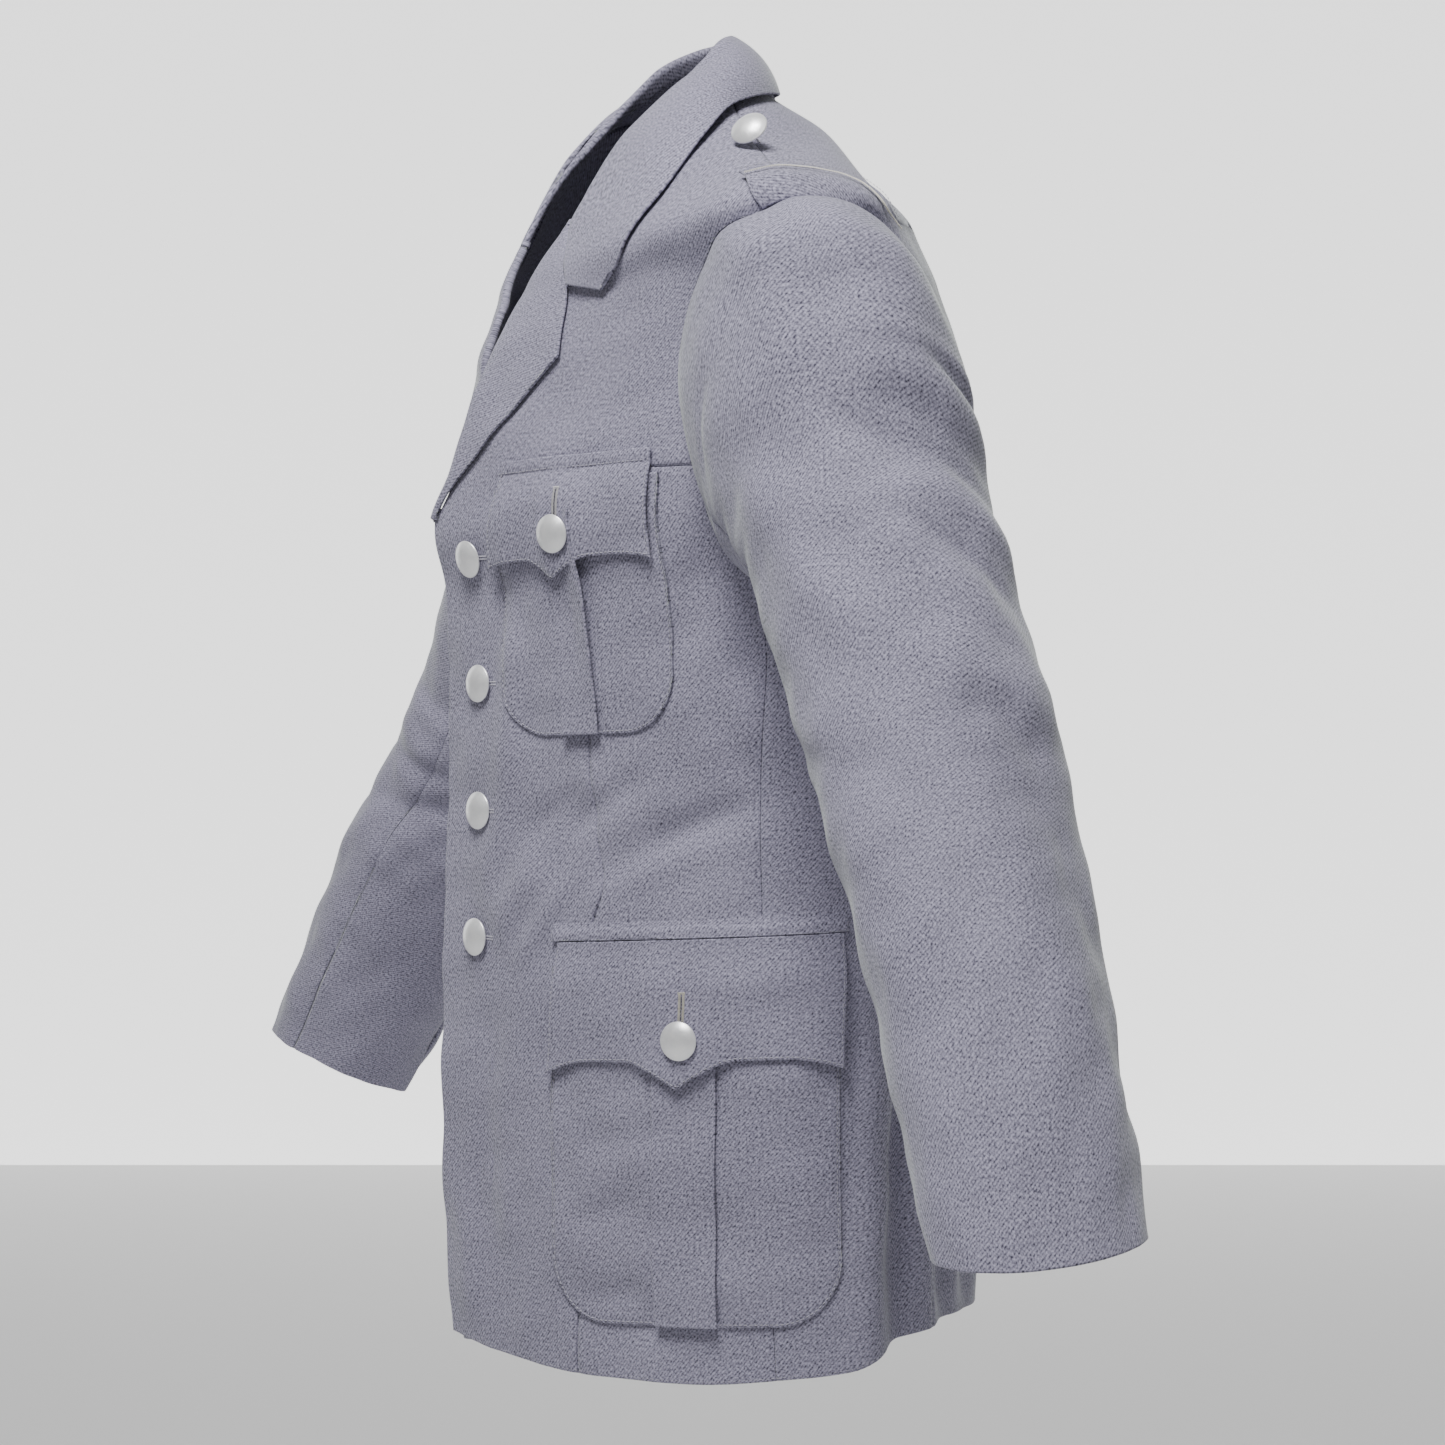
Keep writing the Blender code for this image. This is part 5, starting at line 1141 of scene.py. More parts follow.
def flap_levels(p, share_rows):
    """Rounds and levels of a flap, rows climbing from its lower edge."""
    share = np.unique(spaced(p["tip_round"] - p["flap_left"], 0.0026))
    left = p["flap_left"] + (p["tip_round"] - p["flap_left"]) * share
    right = p["flap_right"] + (p["tip_round"] - p["flap_right"]) * share
    rounds = np.concatenate([left, right[-2::-1]])
    rise = share_rows[:, None]
    return rounds, flap_bottom(p, rounds) * (1 - rise) + p["flap_top"] * rise + climb(p, rounds)


def flap_lift(p, kind, mirror, rounds, levels):
    """Height of a flap's inner face: down on the panel at its top, over the pleat below."""
    top = p["flap_top"] + climb(p, rounds)
    rise = np.clip((levels - p["flap_side"]) / (p["flap_top"] - p["flap_side"]), 0, 1)
    middle = pleat_middle(p, mirror, rise)
    on_pleat = eased(np.abs(rounds - middle), 0.85 * p["pleat_width"], 0.42 * p["pleat_width"])
    low = FLAP_LIFT - 0.0022 + 0.0022 * on_pleat
    side_foot = p["flap_side"] + climb(p, rounds)
    edge = 0.0012 * eased(levels, side_foot + 0.012, side_foot - 0.004)
    high = WALL + 0.0005
    return low + edge + (high - low - edge) * eased(levels, top - 0.030, top - 0.001)


def flap_sheet(side, kind, mirror):
    p = pocket_row(kind)
    rise = spaced(p["flap_top"] - p["flap_side"], 0.0024)
    flat, levels = flap_levels(p, rise)
    rounds = flat + flap_lean(p, flat, rise[:, None])
    off = np.minimum(np.minimum(flat - p["flap_left"], p["flap_right"] - flat),
                     levels - climb(p, flat) - flap_bottom(p, flat))
    lift = flap_lift(p, kind, mirror, rounds, levels) + ditch(off - 0.0016, 0.0011, 0.0004)
    if kind == "breast":
        down = p["flap_top"] + climb(p, rounds) - levels
        lift = lift + 0.0012 * eased(down, 0.0078, 0.0062) + ditch(down - 0.0072, 0.0010, 0.0005)
    points = body_sheet(side, rounds, levels, lift)
    sheet(f"{side}_{kind}_flap", points, np.stack([rounds, levels], -1), FACING_WALL,
          mirror=mirror)


LOOP_EDGE_LIFT = 0.0036


def loop_places(side, turn, share):
    """Where the strip lies on the body, smoothed over a few places found on it."""
    body = BODIES[side][0]
    few_turns = np.linspace(LOOP_TURNS[0] + 4, LOOP_TURNS[1] - 4, 9)[None, :]
    few_shares = np.linspace(0, 1, 4)[:, None]
    round_, level = armhole_places(few_turns)
    up_ridge = np.array([-0.885, 0.0, 0.466])
    inset = LOOP_WIDTH * few_shares - 0.0006 + LOOP_INSET * few_shares
    target = body_at(body, round_, level) + inset[..., None] * up_ridge
    found = drop_on_body(body, target, round_ + 0 * few_shares, level + 0 * few_shares)
    ways = (few_turns[0] - few_turns.mean()) / 40
    basis = np.stack([few_shares ** i * ways ** j for i in range(3) for j in range(5)], -1).reshape(-1, 15)
    at, ways = np.asarray(share, float), (np.asarray(turn, float) - few_turns.mean()) / 40
    terms = np.stack([at ** i * ways ** j for i in range(3) for j in range(5)], -1)
    return [terms @ np.linalg.lstsq(basis, f.reshape(-1), rcond=None)[0] for f in found]


def loop_lift(share):
    """Height of the strip over the body, from its outer edge to its inner one."""
    return LOOP_EDGE_LIFT + (LOOP_LIFT - LOOP_EDGE_LIFT) * eased(share, 0.1, 0.5)


def loop_sheet(side, mirror):
    share = spaced(LOOP_WIDTH, 0.002)[:, None]
    turn = np.linspace(*LOOP_TURNS, 70)[None, :]
    turn, share = np.broadcast_arrays(turn, share)
    rounds, levels = loop_places(side, turn, share)
    lift = loop_lift(share) + ditch(LOOP_WIDTH * (1 - share) - 0.0022, 0.0010, 0.0005)
    points = body_sheet(side, rounds, levels, lift)[::-1]
    across = np.cumsum(np.concatenate([[0], np.linalg.norm(np.diff(points[0], axis=0), axis=-1)]))
    uv = np.stack(np.meshgrid(across, LOOP_WIDTH * share[:, 0]), -1)
    sheet(side + "_shoulder_loop", points, uv, FACING_WALL, mirror=mirror,
          grain=30)


WELT_WALL = 0.0014


def welt_sheet(side, mirror):
    """The pressed and stitched edge of the panel above the lower pocket's flap."""
    p = pocket_row("lower")
    width = p["flap_right"] - p["flap_left"] + 0.004
    rounds = (p["flap_left"] - 0.002 + width * spaced(width))[None, :]
    up = np.array([0.0003, 0.0008, 0.0015, 0.0028, 0.0042, 0.0056,
                   0.0064, 0.0072, 0.0080, 0.0092, 0.0112])[:, None]
    levels = p["flap_top"] + climb(p, rounds) + up
    lift = 0.0026 - 0.0023 * eased(up, 0.0030, 0.0112) + ditch(up - 0.0071, 0.0009, 0.0003) + 0 * rounds
    points = body_sheet(side, rounds + 0 * up, levels, lift, seams=True)
    uv = np.stack([rounds + 0 * up, levels], -1)
    uv = uv * ((-1, 1) if mirror else (1, 1))
    piece = sheet_mesh(side + "_lower_welt", points, WELT_WALL, uv, mirror=mirror)
    piece.data.materials.append(TWILL)
    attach(piece, "root")
    cut_of(points)


# Stitches, buttonholes and buttons

STITCH_RADIUS = 0.00032


def thread_mesh(name, runs, radius, colour_of, mirror=False):
    """Short threads, each from one place to another, bowed out of the cloth, as one mesh."""
    share = np.array((0.0, 0.22, 0.5, 0.78, 1.0))
    fat = np.array((0.35, 0.9, 1.0, 0.9, 0.35))
    bow = np.array((-0.9, 0.15, 0.55, 0.15, -0.9))
    angles = np.radians((90, 210, 330))
    verts, faces = [], []
    for start, end, normal in runs:
        axis = unit(end - start)
        side = unit(np.cross(axis, normal))
        base = len(verts)
        for s, f, b in zip(share, fat, bow):
            middle = start + (end - start) * s + normal * radius * b
            for a in angles:
                verts.append(middle + radius * f * (math.cos(a) * side + math.sin(a) * normal))
        n = len(angles)
        for i in range(len(share) - 1):
            for k in range(n):
                a, b = base + i * n + k, base + i * n + (k + 1) % n
                faces.append((a, a + n, b + n, b))
        faces.append(tuple(base + k for k in range(n)))
        last = base + (len(share) - 1) * n
        faces.append(tuple(last + k for k in reversed(range(n))))
    verts = np.array(verts)
    if mirror:
        verts = set_back(verts) * (-1, 1, 1)
        faces = [f[::-1] for f in faces]
    mesh = bpy.data.meshes.new(name)
    mesh.from_pydata(verts.tolist(), [], faces)
    mesh.shade_smooth()
    mesh.update()
    piece = bpy.data.objects.new(name, mesh)
    bpy.context.scene.collection.objects.link(piece)
    piece.data.materials.append(colour_of)
    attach(piece, "root")
    return piece


def stitch_runs(line, normals, length=0.0022, gap=0.0008):
    """Stitches of even length along a line of places."""
    along = lengths_along(line)
    count = int(along[-1] / (length + gap))
    runs = []
    for i in range(count):
        ends = (i + 0.5) * (length + gap) + np.array((-0.5, 0.5)) * length
        both = np.stack([np.interp(ends, along, line[:, k]) for k in range(3)], -1)
        middle = np.array([np.interp(ends.mean(), along, normals[:, k]) for k in range(3)])
        runs.append((both[0], both[1], unit(middle)))
    return runs


def surface_line(side, rounds, levels, lift, seams=False):
    """Places and outward directions along a line on the body."""
    low = body_sheet(side, rounds, levels, lift, seams)
    high = body_sheet(side, rounds, levels, lift + 0.004, seams)
    return low, unit(high - low)


def pocket_border(p, inset, count=260):
    """A line inside a pocket's edge, from its top down one side, round and up the other."""
    left, right, c = p["left"] + inset, p["right"] - inset, p["corner"] - inset
    low, top = p["bottom"] + inset, p["top"] - 0.002
    corner = np.radians(np.linspace(0, 90, 24))
    across, up = c * (1 - np.cos(corner)), c * (1 - np.sin(corner))
    r = np.concatenate([[left], left + across, right - across[::-1], [right]])
    z = np.concatenate([[top], low + up, low + up[::-1], [top]])
    along = np.concatenate([[0], np.cumsum(np.hypot(np.diff(r), np.diff(z)))])
    at = np.linspace(0, along[-1], count)
    r, z = np.interp(at, along, r), np.interp(at, along, z)
    return r, z + climb(p, r)


def flap_border(p, inset, count=240):
    """A line inside a flap's edge, down one side, along the points and up the other."""
    high = p["flap_top"] - 0.004
    width = p["flap_right"] - p["flap_left"] - 2 * inset
    low_left = np.stack([np.full(40, p["flap_left"] + inset),
                         np.linspace(high, flap_bottom(p, p["flap_left"]) + inset, 40)], -1)
    rounds = p["flap_left"] + inset + width * np.linspace(0, 1, count)
    middle = np.stack([rounds, flap_bottom(p, rounds) + inset * 1.15], -1)
    low_right = np.stack([np.full(40, p["flap_right"] - inset),
                          np.linspace(flap_bottom(p, p["flap_right"]) + inset, high, 40)], -1)
    line = np.concatenate([low_left, middle[1:-1], low_right])
    foot = flap_bottom(p, line[:, 0])
    rise = (line[:, 1] - foot) / (p["flap_top"] - foot)
    return line[:, 0] + flap_lean(p, line[:, 0], rise), line[:, 1] + climb(p, line[:, 0])


def pocket_stitches(side, mirror):
    runs = []
    for kind in POCKETS:
        p = pocket_row(kind)
        rounds, levels = pocket_border(p, 0.0017)
        runs += stitch_runs(*surface_line(side, rounds, levels, POCKET_LIFT - 0.0009 + FACING_WALL - 0.0006))
        rounds, levels = flap_border(p, 0.0016)
        lift = flap_lift(p, kind, mirror, rounds, levels) + FACING_WALL - 0.0002
        runs += stitch_runs(*surface_line(side, rounds, levels, lift))
        across = np.linspace(-0.5, 0.5, 30) * (p["pleat_width"] - 0.002)
        rounds = float(pleat_middle(p, mirror, np.zeros(1))[0]) + across
        levels = p["bottom"] + 0.0016 + climb(p, rounds)
        runs += stitch_runs(*surface_line(side, rounds, levels, PLEAT_LIFT - 0.0010 + FACING_WALL - 0.0002))
    p = pocket_row("breast")
    rounds = np.linspace(p["flap_left"] + 0.002, p["flap_right"] - 0.002, 80)
    levels = p["flap_top"] + climb(p, rounds) - 0.0072
    lift = flap_lift(p, "breast", mirror, rounds, levels) + FACING_WALL + 0.0003
    runs += stitch_runs(*surface_line(side, rounds, levels, lift))
    p = pocket_row("lower")
    rounds = np.linspace(p["flap_left"] - 0.001, p["flap_right"] + 0.001, 120)
    levels = p["flap_top"] + climb(p, rounds) + 0.0071
    runs += stitch_runs(*surface_line(side, rounds, levels, 0.0007 + WELT_WALL + 0.0002, True))
    thread_mesh(side + "_pocket_stitches", runs, STITCH_RADIUS, THREAD, mirror)


def hem_stitches(side, mirror):
    rounds = np.linspace(-0.018, float(half_girth(HEM_LEVEL)) - 0.002, 400)
    levels = hem_level(np.full(rounds.shape, HEM_LEVEL + 0.0018), rounds)
    runs = stitch_runs(*surface_line(side, rounds, levels, WALL - 0.0001), 0.0020, 0.0012)
    thread_mesh(side + "_hem_stitches", runs, 0.00026, THREAD, mirror)


def loop_stitches(side, mirror):
    """The bound edge's zigzag, in a light thread."""
    turn = np.linspace(*LOOP_TURNS, 150)

    def line(share):
        rounds, levels = loop_places(side, turn, np.full(turn.shape, share))
        lift = loop_lift(share) + FACING_WALL
        return body_sheet(side, rounds, levels, lift), body_sheet(side, rounds, levels, lift + 0.004)

    low, low_up = line(0.66)
    high, _ = line(0.735)
    along = lengths_along(low)
    count = int(along[-1] / 0.0013)
    at = (np.arange(2 * count) + 0.5) * 0.5 * along[-1] / count
    a = np.stack([np.interp(at, along, low[:, k]) for k in range(3)], -1)
    b = np.stack([np.interp(at, along, high[:, k]) for k in range(3)], -1)
    n = unit(np.stack([np.interp(at, along, (low_up - low)[:, k]) for k in range(3)], -1))
    ends = np.where((np.arange(2 * count) % 2 == 0)[:, None], a, b)
    runs = [(ends[i], ends[i + 1], n[i]) for i in range(2 * count - 1)]
    thread_mesh(side + "_loop_zigzag", runs, 0.00024, CREAM, mirror)
    edge, edge_up = line(0.94)
    runs = stitch_runs(edge, unit(edge_up - edge), 0.0018, 0.0007)
    thread_mesh(side + "_loop_stitches", runs, 0.00026, THREAD, mirror)


def buttonhole(side, kind, mirror):
    """A worked buttonhole above a flap's button: two rows of close threads, and between them a dark thread
    as painted shade in the slit.
    """
    p = pocket_row(kind)
    middle = p["button_round"]
    top = p["button_level"] + (0.0260 if kind == "lower" else 0.0250)
    low = p["button_level"] + 0.006
    runs = []
    half = 0.0017
    levels = np.arange(low, top, 0.00062)

    def place(r, z):
        r, z = np.asarray(r, float), np.asarray(z, float) + climb(p, np.asarray(r, float))
        lift = flap_lift(p, kind, mirror, r, z) + FACING_WALL + 0.0002
        return surface_line(side, r, z, lift)

    for sign in (-1, 1):
        a, n = place(np.full(levels.shape, middle + sign * 0.0003), levels)
        b, _ = place(np.full(levels.shape, middle + sign * (0.0003 + half)), levels + 0.0001)
        runs += list(zip(a, b, n))
    rounds = np.linspace(middle - 0.0019, middle + 0.0019, 7)
    a, n = place(rounds, np.full(rounds.shape, top - 0.0003))
    b, _ = place(rounds, np.full(rounds.shape, top + 0.0012))
    runs += list(zip(a, b, n))
    thread = CREAM if kind == "lower" else THREAD_LIGHT
    thread_mesh(f"{side}_{kind}_buttonhole", runs, 0.00030, thread, mirror)
    # The slit is a dark thread along the cut: painted shade where the cloth opens.
    a, n = place(np.full(levels.shape, middle), levels)
    slit = [(a[i], a[i + 3], n[i]) for i in range(0, len(a) - 3, 3)]
    thread_mesh(f"{side}_{kind}_slit", slit, 0.00030, PAINTED_SLIT_SHADE, mirror)


def front_buttonhole(index, level):
    """The part of a front buttonhole that shows beside its button."""
    rounds = np.arange(FRONT_BUTTON_ROUND + 0.004, FRONT_BUTTON_ROUND + 0.0150, 0.0006)
    levels = np.full(rounds.shape, level)
    runs = []
    for sign in (-1, 1):
        a, n = surface_line("left", rounds, levels + sign * 0.0002, WALL + 0.0001)
        b, _ = surface_line("left", rounds, levels + sign * 0.0014, WALL + 0.0001)
        runs += list(zip(a, b, n))
    thread_mesh(f"front_buttonhole_{index}", runs, 0.00028, THREAD)


DOME = (  # radius and height as shares of the button's own
    (0.00, 1.00), (0.20, 0.985), (0.40, 0.925), (0.58, 0.815), (0.74, 0.665), (0.86, 0.510),
    (0.935, 0.395), (0.965, 0.350), (1.00, 0.300), (1.012, 0.220), (0.995, 0.140), (0.94, 0.085),
    (0.80, 0.050), (0.50, 0.020), (0.24, 0.0),
)


def button_piece(node, place, outward, shank):
    """A pressed metal button: a thin dome with a turned edge over a plain back."""
    bpy.ops.object.select_all(action="DESELECT")
    bpy.ops.mesh.primitive_cylinder_add(vertices=56, radius=0.24 * BUTTON_RADIUS, depth=0.0004,
                                        location=(0, 0, shank - 0.0002))
    piece = bpy.context.object
    piece.name = node + "_metal"
    bpy.ops.object.mode_set(mode="EDIT")
    bm = bmesh.from_edit_mesh(piece.data)
    for face in bm.faces:
        face.select_set(False)
    top = max(bm.faces, key=lambda f: f.calc_center_median().z)
    top.select_set(True)
    bmesh.update_edit_mesh(piece.data)
    radius, height = 0.24, 0.0
    for r, h in DOME[-2::-1]:
        up = (0, 0, (h - height) * BUTTON_DEPTH)
        bpy.ops.mesh.extrude_region_move(TRANSFORM_OT_translate={"value": up})
        if r > 0:
            bpy.ops.transform.resize(value=(r / radius, r / radius, 1),
                                     center_override=(0, 0, shank + h * BUTTON_DEPTH))
            radius = r
        else:
            bpy.ops.mesh.merge(type="CENTER")
        height = h
    bpy.ops.object.mode_set(mode="OBJECT")
    mesh = piece.data
    points = np.array([v.co for v in mesh.vertices]) + (0, 0, shank - 0.0002)
    turn = np.array(Vector(outward).to_track_quat("Z", "Y").to_matrix())
    points = points @ turn.T + place
    mesh.vertices.foreach_set("co", points.astype(np.float32).reshape(-1))
    piece.location = (0, 0, 0)
    mesh.update()
    mesh.shade_smooth()
    mesh.materials.clear()
    mesh.materials.append(METAL)
    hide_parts(node)
    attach(piece, "root")
    if shank:
        shank_piece(node, np.array(place), turn, shank)
    return piece


def shank_piece(node, place, turn, shank):
    """The bent wire that carries a shoulder button, and its foot in the cloth."""
    a = np.radians(np.linspace(-200, 20, 21))
    side = np.stack([0.0019 * np.cos(a + math.radians(90)), 0 * a,
                     shank - 0.0030 + 0.0022 * np.sin(a + math.radians(90))], -1)
    wire = np.concatenate([[(-0.0010, 0, shank + 0.001)], side, [(0.0012, 0, -0.0016)]])
    curve = bpy.data.curves.new(node + "_shank", "CURVE")
    curve.dimensions = "3D"
    curve.bevel_depth = 0.00062
    curve.bevel_resolution = 3
    curve.use_fill_caps = True
    spline = curve.splines.new("POLY")
    spline.points.add(len(wire) - 1)
    for point, co in zip(spline.points, wire @ turn.T + place):
        point.co = (*co, 1)
    piece = bpy.data.objects.new(node + "_shank", curve)
    bpy.context.scene.collection.objects.link(piece)
    curve.materials.append(METAL)
    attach(piece, "root")


def button_places():
    for i, level in enumerate(FRONT_BUTTON_LEVELS):
        yield f"front_button_{i + 1}", "left", FRONT_BUTTON_ROUND, level, WALL + 0.0009, 0.0, None
        front_buttonhole(i + 1, level)
    for side in ("left", "right"):
        for kind in POCKETS:
            p = pocket_row(kind)
            yield (f"{side}_{kind}_button", side, p["button_round"], p["button_level"],
                   FLAP_LIFT + FACING_WALL + 0.0010, 0.0, None)
        yield (side + "_shoulder_button", side, float(shoulder_seam(SHOULDER_BUTTON_LEVEL)),
               SHOULDER_BUTTON_LEVEL, WALL + 0.0016, SHANK, SHOULDER_BUTTON_AXIS)


def buttons():
    for node, side, round_, level, lift, shank, axis in button_places():
        body = BODIES[side][0]
        place = body_at(body, round_, level, lift)
        outward = unit(body_at(body, round_, level, lift + 0.01) - place) if axis is None else np.array(axis)
        if side == "right":
            place, outward = set_back(place) * (-1, 1, 1), outward * (-1, 1, 1)
        button_piece(node, place, outward, shank)


# Materials


def node(tree, kind, place, **values):
    made = tree.nodes.new(kind)
    made.location = place
    for name, value in values.items():
        if hasattr(made, name):
            setattr(made, name, value)
        else:
            made.inputs[name.replace("_", " ")].default_value = value
    return made


def maths(tree, operation, a, b, place):
    made = tree.nodes.new("ShaderNodeMath")
    made.operation = operation
    made.location = place
    for socket, value in zip(made.inputs, (a, b)):
        if isinstance(value, (int, float)):
            socket.default_value = value
        elif value is not None:
            tree.links.new(value, socket)
    return made.outputs[0]


def surface_group(name, left, right, colours, numbers):
    """An empty node group that takes colours and numbers and gives a surface's values."""
    tree = bpy.data.node_groups.new(name, "ShaderNodeTree")
    face = tree.interface
    for key in colours:
        face.new_socket(key, in_out="INPUT", socket_type="NodeSocketColor")
    for key, value in numbers.items():
        face.new_socket(key, in_out="INPUT", socket_type="NodeSocketFloat").default_value = value
    face.new_socket("Colour", in_out="OUTPUT", socket_type="NodeSocketColor")
    face.new_socket("Height", in_out="OUTPUT", socket_type="NodeSocketFloat")
    face.new_socket("Roughness", in_out="OUTPUT", socket_type="NodeSocketFloat")
    inn, out = tree.nodes.new("NodeGroupInput"), tree.nodes.new("NodeGroupOutput")
    inn.location, out.location = (left, 0), (right, 0)
    return tree, inn, out


def colour_mix(tree, place, share, first, second):
    """Between two colours by a share."""
    mix = tree.nodes.new("ShaderNodeMix")
    mix.data_type = "RGBA"
    mix.location = place
    tree.links.new(share, mix.inputs["Factor"])
    tree.links.new(first, mix.inputs[6])
    tree.links.new(second, mix.inputs[7])
    return mix.outputs[2]


def from_middle(tree, noise, factor, x, y):
    """A noise round nought, times a factor."""
    level = maths(tree, "SUBTRACT", noise.outputs[0], 0.5, (x, y))
    return maths(tree, "MULTIPLY", level, factor, (x + 150, y))


def surface_material(made, group_tree, inputs, bump_strength, bump_distance):
    """Put a surface group in a material, with its colour and height joined to the shader."""
    tree = made.node_tree
    shader = tree.nodes["Principled BSDF"]
    group = tree.nodes.new("ShaderNodeGroup")
    group.node_tree = group_tree
    group.location = (-500, 200)
    for key, value in inputs.items():
        group.inputs[key].default_value = value
    bump = node(tree, "ShaderNodeBump", (-250, -200), Strength=bump_strength, Distance=bump_distance)
    tree.links.new(group.outputs["Colour"], shader.inputs["Base Color"])
    tree.links.new(group.outputs["Height"], bump.inputs["Height"])
    tree.links.new(bump.outputs[0], shader.inputs["Normal"])
    return tree, shader, group


def twill_group():
    """Diagonal ribs of light and dark yarns, with the unevenness of a spun wool."""
    tree, inn, out = surface_group("wool_weave", -1500, 900, ("Light", "Dark"),
                                   {"Pitch": 0.0016, "Contrast": 0.5})
    uv = node(tree, "ShaderNodeUVMap", (-1500, 300), uv_map="cloth")
    wobble = node(tree, "ShaderNodeTexNoise", (-1300, 500), Scale=40.0, Detail=0.0)
    tree.links.new(uv.outputs[0], wobble.inputs["Vector"])
    apart = node(tree, "ShaderNodeSeparateXYZ", (-1300, 250))
    tree.links.new(uv.outputs[0], apart.inputs[0])
    shift = from_middle(tree, wobble, 0.0030, -1100, 500)
    u = maths(tree, "ADD", apart.outputs[0], shift, (-800, 400))
    v = apart.outputs[1]
    across = maths(tree, "SUBTRACT", maths(tree, "MULTIPLY", u, 0.77, (-650, 400)),
                   maths(tree, "MULTIPLY", v, 0.64, (-650, 250)), (-500, 350))
    phase = maths(tree, "DIVIDE", across, inn.outputs["Pitch"], (-350, 350))
    rib = maths(tree, "SINE", maths(tree, "MULTIPLY", phase, 2 * math.pi, (-200, 350)), None, (-50, 350))
    yarn = node(tree, "ShaderNodeTexNoise", (-900, -100), Scale=610.0, Detail=1.0, Roughness=0.8)
    tree.links.new(uv.outputs[0], yarn.inputs["Vector"])
    blotch = node(tree, "ShaderNodeTexNoise", (-900, -600), Scale=12.0, Detail=1.0)
    tree.links.new(uv.outputs[0], blotch.inputs["Vector"])
    spun = from_middle(tree, yarn, 3.3, -700, -100)
    patch = from_middle(tree, blotch, 0.35, -700, -600)
    ribs = maths(tree, "MULTIPLY", rib, 0.30, (100, 350))
    total = maths(tree, "ADD", maths(tree, "ADD", ribs, spun, (250, 100)), patch, (400, 50))
    scaled = maths(tree, "MULTIPLY", total, inn.outputs["Contrast"], (500, 200))
    amount = maths(tree, "ADD", scaled, 0.5, (600, 200))
    clamp = node(tree, "ShaderNodeClamp", (650, 100))
    tree.links.new(amount, clamp.inputs[0])
    colour = colour_mix(tree, (750, 250), clamp.outputs[0], inn.outputs["Dark"], inn.outputs["Light"])
    rough = maths(tree, "ADD", maths(tree, "MULTIPLY", spun, 0.04, (450, -350)), 0.88, (600, -350))
    tree.links.new(colour, out.inputs["Colour"])
    tree.links.new(rib, out.inputs["Height"])
    tree.links.new(rough, out.inputs["Roughness"])
    return tree


def plain(name, colour, roughness, **values):
    made = bpy.data.materials.new(name)
    made.use_nodes = True
    shader = made.node_tree.nodes["Principled BSDF"]
    shader.inputs["Base Color"].default_value = (*colour, 1)
    shader.inputs["Roughness"].default_value = roughness
    for key, value in values.items():
        shader.inputs[key.replace("_", " ")].default_value = value
    return made


def cloth_material(name, light, dark, pitch, contrast):
    made = plain(name, light, 0.9, Specular_IOR_Level=0.18, Sheen_Weight=0.30, Sheen_Roughness=0.42)
    inputs = {"Light": (*light, 1), "Dark": (*dark, 1), "Pitch": pitch, "Contrast": contrast}
    tree, shader, group = surface_material(made, WEAVE, inputs, 0.10, 0.00007)
    shader.inputs["Sheen Tint"].default_value = (0.93, 1.0, 0.90, 1)
    tree.links.new(group.outputs["Roughness"], shader.inputs["Roughness"])
    return made


def grain_group():
    """A fine matt grain for metal and thread."""
    tree, inn, out = surface_group("fine_grain", -900, 500, ("Colour", "Worn"), {"Scale": 2600.0})
    where = node(tree, "ShaderNodeTexCoord", (-900, 300))
    fine = node(tree, "ShaderNodeTexNoise", (-600, 200), Detail=3.0, Roughness=0.7)
    broad = node(tree, "ShaderNodeTexNoise", (-600, -200), Scale=260.0, Detail=2.0)
    tree.links.new(where.outputs["Object"], fine.inputs["Vector"])
    tree.links.new(where.outputs["Object"], broad.inputs["Vector"])
    tree.links.new(inn.outputs["Scale"], fine.inputs["Scale"])
    worn = maths(tree, "ADD", maths(tree, "MULTIPLY", fine.outputs[0], 0.8, (-350, 200)),
                 maths(tree, "MULTIPLY", broad.outputs[0], 0.6, (-350, -100)), (-150, 100))
    share = node(tree, "ShaderNodeMapRange", (0, 100))
    share.inputs["From Min"].default_value = 0.5
    share.inputs["From Max"].default_value = 0.9
    tree.links.new(worn, share.inputs["Value"])
    colour = colour_mix(tree, (250, 200), share.outputs[0], inn.outputs["Colour"], inn.outputs["Worn"])
    rough = maths(tree, "MULTIPLY", share.outputs[0], 0.14, (250, -200))
    tree.links.new(colour, out.inputs["Colour"])
    tree.links.new(fine.outputs[0], out.inputs["Height"])
    tree.links.new(maths(tree, "ADD", rough, 0.30, (380, -200)), out.inputs["Roughness"])
    return tree


def grained(name, colour, worn, roughness, scale, depth, **values):
    made = plain(name, colour, roughness, **values)
    inputs = {"Scale": scale, "Colour": (*colour, 1), "Worn": (*worn, 1)}
    tree, shader, group = surface_material(made, GRAIN, inputs, 0.5, depth)
    if values.get("Metallic"):
        tree.links.new(group.outputs["Roughness"], shader.inputs["Roughness"])
    return made


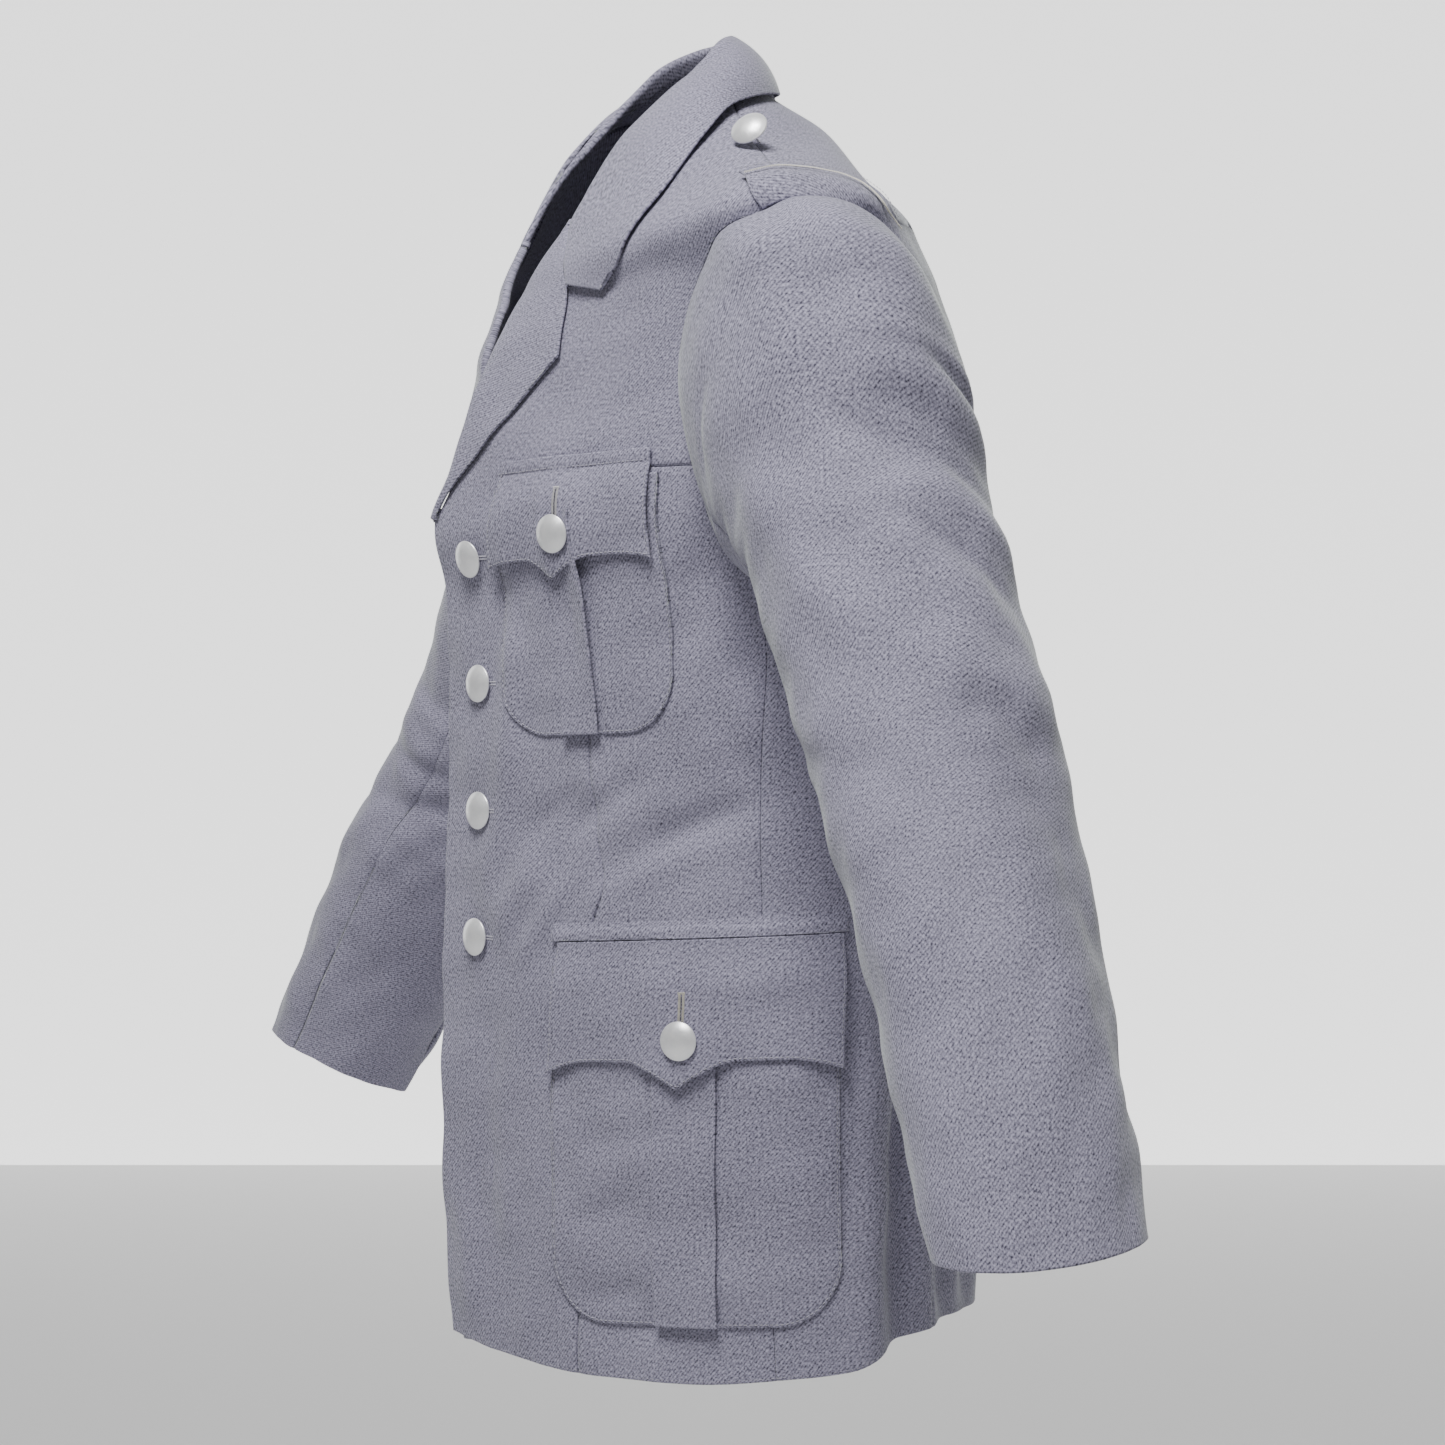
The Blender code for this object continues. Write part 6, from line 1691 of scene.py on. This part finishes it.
WEAVE = twill_group()
GRAIN = grain_group()
TWILL = cloth_material("wool_twill", (0.480, 0.460, 0.600), (0.055, 0.051, 0.078), 0.00160, 0.52)
THREAD = grained("grey_thread", (0.40, 0.39, 0.45), (0.50, 0.49, 0.55), 0.7, 3000.0, 0.0001)
THREAD_LIGHT = grained("light_thread", (0.70, 0.69, 0.70), (0.80, 0.78, 0.78), 0.7, 3000.0, 0.0001)
CREAM = grained("cream_thread", (0.72, 0.69, 0.60), (0.80, 0.77, 0.68), 0.7, 3000.0, 0.0001)
# Painted shade for the inside of a buttonhole's slit.
PAINTED_SLIT_SHADE = grained("slit_shade", (0.030, 0.030, 0.036), (0.05, 0.05, 0.06), 0.9, 3000.0, 0.0001)
METAL = grained("satin_metal", (0.88, 0.89, 0.91), (0.98, 0.98, 0.98), 0.46, 1500.0, 0.00006, Metallic=0.5)

# The pieces

LEFT_BODY = make_body(LEFT_FOLDS)
RIGHT_BODY = lap_under(make_body(RIGHT_FOLDS), LEFT_BODY)
BODIES = {"left": (LEFT_BODY, LEFT_CREASES, 0.0), "right": (RIGHT_BODY, RIGHT_CREASES, 0.0)}
SLEEVES = {
    "left": (LEFT_SLEEVE, LEFT_SLEEVE_FOLDS, LEFT_SLEEVE_CREASES, 1.3),
    "right": (RIGHT_SLEEVE, RIGHT_SLEEVE_FOLDS, RIGHT_SLEEVE_CREASES, 2.9),
}
for side_name, mirrored in (("left", False), ("right", True)):
    front_sheet(side_name, mirrored)
    front_side_sheet(side_name, mirrored)
    side_sheet(side_name, mirrored)
    back_sheet(side_name, mirrored)
    sleeve_sheets(side_name, mirrored)
    lapel_sheet(side_name, mirrored)
    loop_sheet(side_name, mirrored)
    welt_sheet(side_name, mirrored)
    for pocket_kind in POCKETS:
        pocket_sheet(side_name, pocket_kind, mirrored)
        pleat_sheet(side_name, pocket_kind, mirrored)
        flap_sheet(side_name, pocket_kind, mirrored)
        buttonhole(side_name, pocket_kind, mirrored)
    pocket_stitches(side_name, mirrored)
    hem_stitches(side_name, mirrored)
    loop_stitches(side_name, mirrored)
collar_sheet()
stand_sheet()
buttons()

# The stage, the light and the camera

CAMERA_TURN = math.radians(65)  # round the garment, from straight in front
CAMERA_FAR = 2.019
IMAGE_SIDE = 1445  # pixels
FOCAL = 3300  # in those pixels
RIGHT_WAY = Vector((math.cos(CAMERA_TURN), math.sin(CAMERA_TURN), 0))
AHEAD = Vector((-math.sin(CAMERA_TURN), math.cos(CAMERA_TURN), 0))
LOOK_AT = RIGHT_WAY * 0.0198 + Vector((0, 0, -0.375))
FLOOR_LEVEL = -1.45
WORLD_STRENGTH = 0.13
WALL_LIGHT = 1.6


def stage():
    bpy.ops.object.select_all(action="DESELECT")
    bpy.ops.mesh.primitive_plane_add(size=60, location=(0, 0, FLOOR_LEVEL))
    floor = bpy.context.object
    floor.name = "floor"
    floor.data.materials.append(plain("pale_floor", (0.93, 0.93, 0.93), 0.95, Specular_IOR_Level=0.1))
    bpy.ops.mesh.primitive_plane_add(size=1, location=AHEAD * 6,
                                     rotation=(math.radians(90), 0, CAMERA_TURN))
    wall = bpy.context.object
    wall.name = "backdrop"
    wall.scale = (18, 10, 1)
    wall.data.materials.append(plain("pale_wall", (0.9, 0.9, 0.9), 0.95, Emission_Color=(1, 1, 1, 1),
                                     Emission_Strength=WALL_LIGHT))
    world = bpy.data.worlds.new("studio")
    bpy.context.scene.world = world
    world.use_nodes = True
    world.node_tree.nodes["Background"].inputs[0].default_value = (1, 1, 1, 1)
    world.node_tree.nodes["Background"].inputs[1].default_value = WORLD_STRENGTH


def soft_light(name, right, ahead, up, size, power):
    data = bpy.data.lights.new(name, "AREA")
    data.shape = "SQUARE"
    data.size = size
    data.energy = power
    lamp = bpy.data.objects.new(name, data)
    bpy.context.scene.collection.objects.link(lamp)
    lamp.location = LOOK_AT + RIGHT_WAY * right + AHEAD * ahead + Vector((0, 0, up))
    lamp.rotation_euler = (LOOK_AT - lamp.location).to_track_quat("-Z", "Y").to_euler()


stage()
soft_light("key", -0.45, -1.15, 2.0, 0.9, 78.0)
camera_data = bpy.data.cameras.new("camera")
camera_data.sensor_width = 36.0
camera_data.lens = FOCAL * camera_data.sensor_width / IMAGE_SIDE
camera = bpy.data.objects.new("camera", camera_data)
bpy.context.scene.collection.objects.link(camera)
camera.location = LOOK_AT - AHEAD * CAMERA_FAR
camera.rotation_euler = AHEAD.to_track_quat("-Z", "Y").to_euler()
bpy.context.scene.camera = camera
